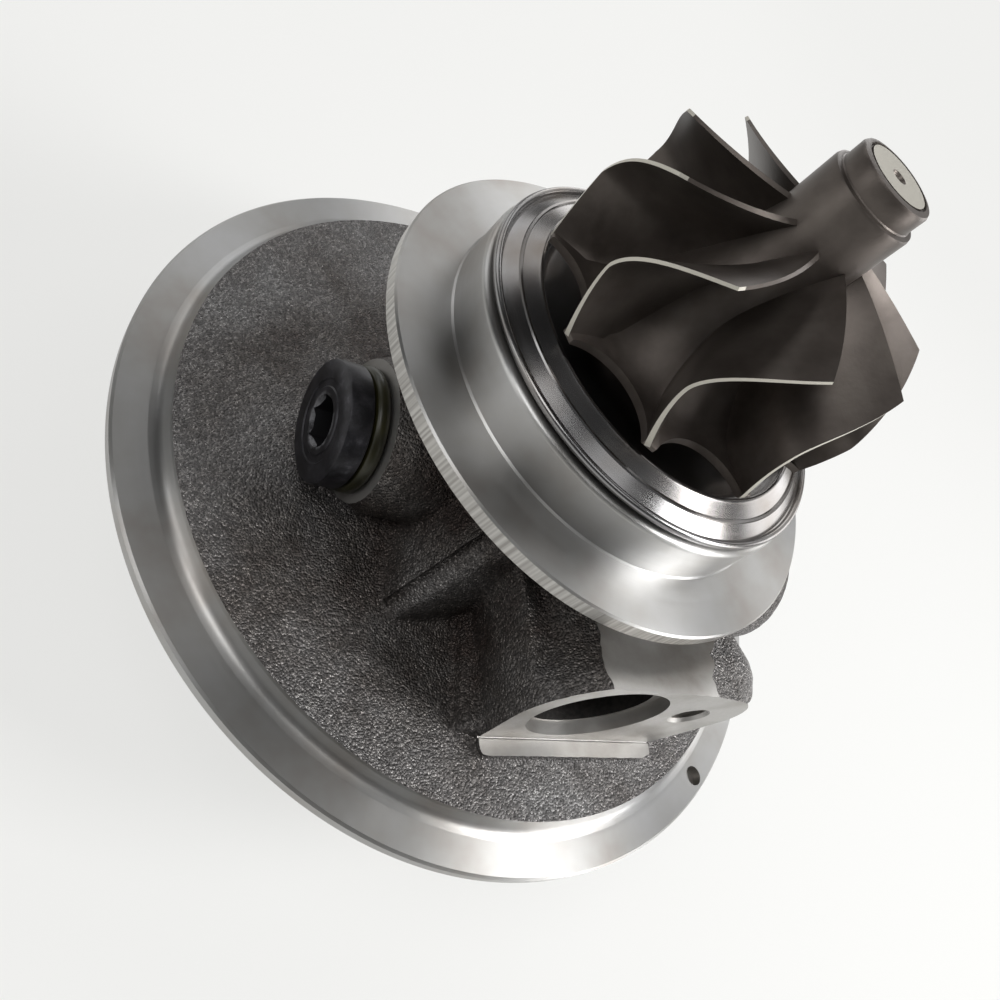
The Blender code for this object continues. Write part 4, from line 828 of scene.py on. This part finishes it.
# Only the blades' outer edges and the flat end of the nose are ground.
for face in wheel.data.polygons:
    radius = face.center.xy.length
    if face.material_index == BRIGHT and radius < (EXIT_R - 0.5) * MM:
        face.material_index = OXIDE
    if face.center.z > (NOSE_Z + 2.7) * MM and radius < NOSE_FACE_R * MM:
        face.material_index = BRIGHT
smoothed(wheel, 35.0)
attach(wheel, "rotor")
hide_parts("turbine_wheel")

# Port plug and its sealing ring. The plug is steel with a black coating, turned with a collar and a
# hexagon socket; the ring is a moulded olive elastomer pressed between the collar and the boss.
PLUG_COLLAR_R = 8.15
PLUG_SHANK_R = 6.15
PLUG_SHANK_L = 12.0
RING_FROM, RING_TO = PLUG_FACE_X - 0.3, PLUG_FACE_X - 2.2
RING_HOLE_R, RING_OUTER_R = 6.5, 8.4
COLLAR_X = RING_TO - 0.2
HEAD_X = PLUG_FACE_X - 5.9
SOCKET_FLATS = 6.0
SOCKET_DEPTH = 4.3


# Black phosphate and oil on steel: nearly black, half gloss, with pale scuffs where tools touch it.
def blackened_steel():
    made = new_material("blackened_steel", "#232225", 0.55, 0.36)
    place = add(made, "ShaderNodeTexCoord").outputs["Object"]
    scuff = add(made, "ShaderNodeTexNoise", {"Vector": place}, Scale=420.0, Detail=5.0, Roughness=0.7)
    black = colours(made, scuff.outputs["Fac"], (0.42, "#222124"), (0.6, "#353438"), (0.78, "#5c5b60"))
    centred = add(
        made, "ShaderNodeMapping", {"Vector": place}, vector_type="POINT",
        Location=(0.0, -PLUG_Y * MM, -PLUG_Z * MM), Scale=(0.0, 1.0, 1.0),
    )
    radius = add(made, "ShaderNodeVectorMath", {0: centred.outputs["Vector"]}, operation="LENGTH")
    near = add(
        made, "ShaderNodeMapRange", {"Value": radius.outputs["Value"]},
        From_Min=0.0036, From_Max=0.0046, To_Min=0.85, To_Max=0.3,
    )
    rubbed = add(
        made, "ShaderNodeMath", {0: near.outputs["Result"], 1: scuff.outputs["Fac"]}, operation="MULTIPLY",
    )
    worn = add(made, "ShaderNodeMapRange", {"Value": rubbed.outputs[0]}, From_Min=0.36, From_Max=0.5)
    both = add(
        made, "ShaderNodeMix", {"Factor": worn.outputs["Result"], "A": black},
        data_type="RGBA", B=linear("#77777a"),
    )
    feed(made, "Base Color", both.outputs["Result"])
    feed(made, "Roughness", spread(made, scuff.outputs["Fac"], 0.26, 0.5))
    bump = add(made, "ShaderNodeBump", {"Height": scuff.outputs["Fac"]}, Strength=0.2, Distance=0.00004)
    feed(made, "Normal", bump.outputs["Normal"])
    return made


# Moulded fluoro rubber: olive green, smooth and slightly glossy.
def olive_rubber():
    made = new_material("olive_fluoro_rubber", "#2f2e12", 0.0, 0.36)
    place = add(made, "ShaderNodeTexCoord").outputs["Object"]
    cloud = add(made, "ShaderNodeTexNoise", {"Vector": place}, Scale=300.0, Detail=3.0)
    feed(made, "Base Color", colours(made, cloud.outputs["Fac"], (0.35, "#1b1a08"), (0.7, "#2b2910")))
    return made


def lay_along_x(piece, x):
    """Turn a piece that was turned about Z so that its top faces -X, at the plug's axis."""
    piece.data.transform(Matrix.Rotation(math.radians(-90.0), 4, "Y"))
    piece.data.transform(Matrix.Translation(Vector((x, PLUG_Y, PLUG_Z)) * MM))
    return piece


head_t = COLLAR_X - HEAD_X
plug_profile = [
    (6.0, -PLUG_SHANK_L), (PLUG_SHANK_R, -PLUG_SHANK_L + 0.4), (PLUG_SHANK_R, -0.6), (5.9, -0.3), (5.9, 0.0),
    (7.75, 0.0), (PLUG_COLLAR_R, 0.25), (PLUG_COLLAR_R, head_t - 0.45), (PLUG_COLLAR_R - 0.1, head_t - 0.2),
    (PLUG_COLLAR_R - 0.45, head_t), (5.6, head_t), (5.4, head_t - 0.15), (4.6, head_t - 0.15),
    (4.4, head_t), (0.05, head_t),
]
plug = lay_along_x(turned("port_plug", plug_profile, flats=128), COLLAR_X)
socket_r = SOCKET_FLATS / 2 / math.cos(math.radians(30.0))
bottom_x = HEAD_X + SOCKET_DEPTH
socket = round_bar("socket", (HEAD_X - 1, PLUG_Y, PLUG_Z), (bottom_x, PLUG_Y, PLUG_Z), socket_r, flats=6)
lead_in = round_bar(
    "lead_in", (HEAD_X - 0.5, PLUG_Y, PLUG_Z), (HEAD_X + 0.45, PLUG_Y, PLUG_Z),
    socket_r + 0.4, end_radius=socket_r - 0.35, flats=64,
)
# The socket is given a darker colour than the coating round it.
blackened = (blackened_steel(), new_material("dark_socket", "#141316", 0.3, 0.5))
finished_in(plug, *blackened)
carve(plug, finished_in(socket, *blackened, index=1))
carve(plug, finished_in(lead_in, *blackened))
smoothed(plug, 30.0)
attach(plug, "housing")
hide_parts("port_plug")

ring_t = RING_FROM - RING_TO
ring_profile = [
    (RING_HOLE_R, 0.0), (7.9, 0.0), (8.25, 0.2), (RING_OUTER_R, 0.6), (RING_OUTER_R, ring_t - 0.6),
    (8.25, ring_t - 0.2), (7.9, ring_t), (RING_HOLE_R, ring_t), (RING_HOLE_R, 0.0),
]
ring = lay_along_x(turned("plug_sealing_ring", ring_profile, flats=96, solid=False), RING_FROM)
finished_in(ring, olive_rubber())
smoothed(ring, 40.0)
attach(ring, "housing")
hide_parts("plug_sealing_ring")

# Compressor wheel. Cast or milled aluminium with six full and six splitter blades that lean back at the
# tip, clamped on the shaft by a nut.
WHEEL_R = 24.5
WHEEL_BACK = -3.7
WHEEL_DISC = WHEEL_BACK - 1.2
WHEEL_NOSE = -24.7
EYE_R, EYE_Z = 17.2, WHEEL_NOSE + 3.0
WHEEL_HUB_R = 6.6
STUD_BORE_R = 3.2
FULL_BLADES = 6
SPLITTER_START = 0.38
WHEEL_ROOT_T, WHEEL_EDGE_T = 1.1, 0.7
WRAP, TIP_LEAN = 58.0, 14.0


# Milled aluminium: pale and satin, with tool paths about 1 mm wide.
def milled_aluminium():
    made = new_material("milled_aluminium", "#c3c4c5", 1.0, 0.3)
    place = add(made, "ShaderNodeTexCoord").outputs["Object"]
    paths = add(made, "ShaderNodeTexNoise", {"Vector": place}, Scale=900.0, Detail=3.0, Distortion=0.4)
    feed(made, "Roughness", spread(made, paths.outputs["Fac"], 0.22, 0.42))
    bump = add(made, "ShaderNodeBump", {"Height": paths.outputs["Fac"]}, Strength=0.12, Distance=0.00004)
    feed(made, "Normal", bump.outputs["Normal"])
    return made


def compressor_point(start):
    """The middle surface of a blade that starts at a share of the passage."""
    def point(u, v):
        share = start + (1.0 - start) * u
        out, down = 1.0 - math.cos(share * math.pi / 2), math.sin(share * math.pi / 2)
        root_r = WHEEL_HUB_R - 0.6 + (WHEEL_R - WHEEL_HUB_R + 0.6) * out
        root_z = EYE_Z + (WHEEL_DISC + 0.5 - EYE_Z) * down
        rim_r = EYE_R + (WHEEL_R - EYE_R) * out
        rim_z = EYE_Z + 0.4 + (WHEEL_DISC - 3.2 - EYE_Z - 0.4) * down
        r, z = root_r + (rim_r - root_r) * v, root_z + (rim_z - root_z) * v
        turn = math.radians(WRAP * share - TIP_LEAN * v * (1.0 - share))
        return Vector((r * math.cos(turn), r * math.sin(turn), z)) * MM
    return point


def compressor_hub():
    """Back disc and the hub's quarter curve up to the nose, with the bore for the stud."""
    outline = [(STUD_BORE_R, WHEEL_BACK), (WHEEL_R - 0.1, WHEEL_BACK)]
    outline += [(WHEEL_R, WHEEL_BACK - 0.1), (WHEEL_R, WHEEL_DISC)]
    steps = 24
    for step in range(1, steps):
        share = 1.0 - step / steps
        out, down = 1.0 - math.cos(share * math.pi / 2), math.sin(share * math.pi / 2)
        outline.append((WHEEL_HUB_R + (WHEEL_R - WHEEL_HUB_R) * out, EYE_Z + (WHEEL_DISC - EYE_Z) * down))
    outline += [(WHEEL_HUB_R - 0.2, WHEEL_NOSE + 0.4), (WHEEL_HUB_R - 0.6, WHEEL_NOSE)]
    outline += [(STUD_BORE_R, WHEEL_NOSE)]
    return turned("compressor_wheel", outline + outline[:1], flats=144, solid=False)


aluminium = milled_aluminium()
impeller = finished_in(compressor_hub(), aluminium)
full = bladed(
    "full_blade", compressor_point(0.0), WHEEL_ROOT_T, WHEEL_EDGE_T, (aluminium,), along=32, across=12,
)
splitter = bladed(
    "splitter", compressor_point(SPLITTER_START), WHEEL_ROOT_T, WHEEL_EDGE_T, (aluminium,),
    along=24, across=10,
)
carve(impeller, copies_round(full, FULL_BLADES, 0.0), "UNION")
carve(impeller, copies_round(splitter, FULL_BLADES, 180.0 / FULL_BLADES), "UNION")
smoothed(impeller, 35.0)
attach(impeller, "rotor")
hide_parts("compressor_wheel")

# Bearing and sealing pieces, the seal plate, shaft and nut. They lie inside or behind the wheels, so their
# shape in the frame is the final one, and each only gets the finish of its real material.


# Ground steel or bearing bronze: bright and even, with marks too fine to show drawn 0.7 mm apart.
def ground_steel(name, colour, roughness):
    made = new_material(name, colour, 1.0, roughness)
    place = add(made, "ShaderNodeTexCoord").outputs["Object"]
    marks = add(made, "ShaderNodeTexNoise", {"Vector": place}, Scale=1500.0, Detail=2.0)
    feed(made, "Roughness", spread(made, marks.outputs["Fac"], roughness - 0.08, roughness + 0.1))
    return made


steel = ground_steel("ground_steel", "#b9b6b2", 0.26)
spring = ground_steel("oiled_spring_steel", "#55555a", 0.38)
bronze = ground_steel("leaded_bronze", "#b98a52", 0.34)
# Nitrile rubber of the O-ring: black and matt.
rubber = new_material("black_rubber", "#1c1c1c", 0.0, 0.6)
for name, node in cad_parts.items():
    if name == "seal_plate":
        finished_in(node, aluminium)
    elif name in ("rotor_shaft", "thrust_washer", "thrust_collar", "oil_slinger", "compressor_nut"):
        finished_in(node, steel)
    elif name.endswith("bush") or name == "thrust_bearing":
        finished_in(node, bronze)
    elif name.endswith("circlip") or name.startswith("seal_plate_screw") or name.endswith("seal_ring"):
        finished_in(node, spring)
    elif name == "oil_baffle":
        finished_in(node, shield.data.materials[0])
    elif name == "seal_plate_o_ring":
        finished_in(node, rubber)

# Floor, light and camera. A pale table under the part, a room that is pale at the horizon and dim above,
# nine soft boxes round it, and the camera where the photograph was taken from, with its roll.
PALE = "#f2f2f0"
FLOOR_SIZE = 24.0
FLOOR_GLOW, FAR_GLOW = 0.72, 0.98
GLOW_FROM, GLOW_TO = 0.1, 0.5
ROOM_LIGHT = 0.25
BOX_DISTANCE = 0.5
BOX_AIM = (0, 0, 0.03)
# The camera's place in millimetres, its turn in degrees, and its tilt and roll in radians
LENS = 32.98
CAMERA_AT = (-81.7, -66.9, 102.3)
CAMERA_TURN = -51.8
CAMERA_TILT, CAMERA_ROLL = 0.8175, 0.9291
# Name, direction and height in degrees, width and height in metres, and watts
SOFT_BOXES = (
    ("right_high", 325.0, 43.0, 0.17, 0.17, 1.7),
    ("front_low", 318.0, 12.0, 0.22, 0.22, 0.85),
    ("front_top", 262.0, 62.0, 0.22, 0.22, 0.2),
    ("right_low", 0.0, 15.0, 0.22, 0.22, 0.5),
    ("back_right_low", 60.0, 15.0, 0.22, 0.22, 0.4),
    ("back_right_high", 38.0, 46.0, 0.36, 0.36, 0.46),
    ("back", 105.0, 28.0, 0.4, 0.25, 0.42),
    ("left_low", 180.0, 15.0, 0.22, 0.22, 0.3),
    ("left_high", 192.0, 55.0, 0.2, 0.28, 0.65),
)


def pale_table():
    """White laminate. Camera and mirror rays see most of it as plain pale, and the rest keeps the shadow."""
    made = new_material("pale_table", PALE, 0.0, 0.9)
    tree = made.node_tree
    path = add(made, "ShaderNodeLightPath")
    seen = add(
        made, "ShaderNodeMath", {0: path.outputs["Is Camera Ray"], 1: path.outputs["Is Glossy Ray"]},
        operation="ADD",
    )
    place = add(made, "ShaderNodeTexCoord").outputs["Object"]
    far = add(made, "ShaderNodeVectorMath", {0: place}, operation="LENGTH").outputs["Value"]
    plain = add(
        made, "ShaderNodeMapRange", {"Value": far},
        From_Min=GLOW_FROM, From_Max=GLOW_TO, To_Min=FLOOR_GLOW, To_Max=FAR_GLOW,
    )
    share = add(
        made, "ShaderNodeMath", {0: seen.outputs[0], 1: plain.outputs["Result"]}, operation="MULTIPLY",
    )
    glow = add(made, "ShaderNodeEmission", Color=linear(PALE), Strength=1.0)
    mixed = add(made, "ShaderNodeMixShader", {
        0: share.outputs[0], 1: tree.nodes["Principled BSDF"].outputs[0], 2: glow.outputs[0],
    })
    tree.links.new(mixed.outputs[0], tree.nodes["Material Output"].inputs["Surface"])
    return made


floor_z = cad_box[0].z
bpy.ops.object.select_all(action="DESELECT")
bpy.ops.mesh.primitive_plane_add(size=FLOOR_SIZE, location=(0, 0, floor_z))
floor = settle("floor")
finished_in(floor, pale_table())


def pale_room():
    """White at the horizon, where the walls are, and dim towards the ceiling. The camera sees it plain."""
    room = bpy.data.worlds.new("pale_room")
    room.use_nodes = True
    way = add(room, "ShaderNodeTexCoord").outputs["Generated"]
    rise = add(room, "ShaderNodeSeparateXYZ", {"Vector": way}).outputs["Z"]
    height = add(room, "ShaderNodeMapRange", {"Value": rise}, From_Max=0.75)
    shade = colours(room, height.outputs["Result"], (0.0, "#f1f2f2"), (0.3, "#a9aaab"), (0.8, "#4a4a4b"))
    dim = room.node_tree.nodes["Background"]
    dim.inputs["Strength"].default_value = ROOM_LIGHT
    room.node_tree.links.new(shade, dim.inputs["Color"])
    plain = add(room, "ShaderNodeBackground", Color=linear(PALE), Strength=1.0)
    camera_ray = add(room, "ShaderNodeLightPath").outputs["Is Camera Ray"]
    mixed = add(room, "ShaderNodeMixShader", {0: camera_ray, 1: dim.outputs[0], 2: plain.outputs[0]})
    room.node_tree.links.new(mixed.outputs[0], room.node_tree.nodes["World Output"].inputs["Surface"])
    return room


bpy.context.scene.world = pale_room()


def soft_box(name, azimuth, rise, width, height, power):
    """A soft box that looks at the part from a direction given in degrees."""
    lamp = bpy.data.lights.new(name, "AREA")
    lamp.shape = "RECTANGLE"
    lamp.size, lamp.size_y = width, height
    lamp.energy = power
    holder = bpy.data.objects.new(name, lamp)
    bpy.context.collection.objects.link(holder)
    turn, lift = math.radians(azimuth), math.radians(rise)
    way = Vector((math.cos(turn) * math.cos(lift), math.sin(turn) * math.cos(lift), math.sin(lift)))
    holder.location = Vector(BOX_AIM) + way * BOX_DISTANCE
    holder.rotation_euler = way.to_track_quat("Z", "Y").to_euler()
    holder.visible_camera = False


for box in SOFT_BOXES:
    soft_box(*box)

camera_data = bpy.data.cameras.new("camera")
camera_data.lens = LENS
camera_data.sensor_width = 36.0
camera_data.clip_start = 0.005
camera = bpy.data.objects.new("camera", camera_data)
bpy.context.collection.objects.link(camera)
spin = Matrix.Rotation(math.radians(CAMERA_TURN), 4, "Z")
tilt = Matrix.Rotation(CAMERA_TILT, 4, "X")
roll = Matrix.Rotation(CAMERA_ROLL, 4, "Z")
camera.matrix_world = Matrix.Translation(Vector(CAMERA_AT) * MM) @ spin @ tilt @ roll
bpy.context.scene.camera = camera
bpy.context.scene.view_settings.view_transform = "Standard"
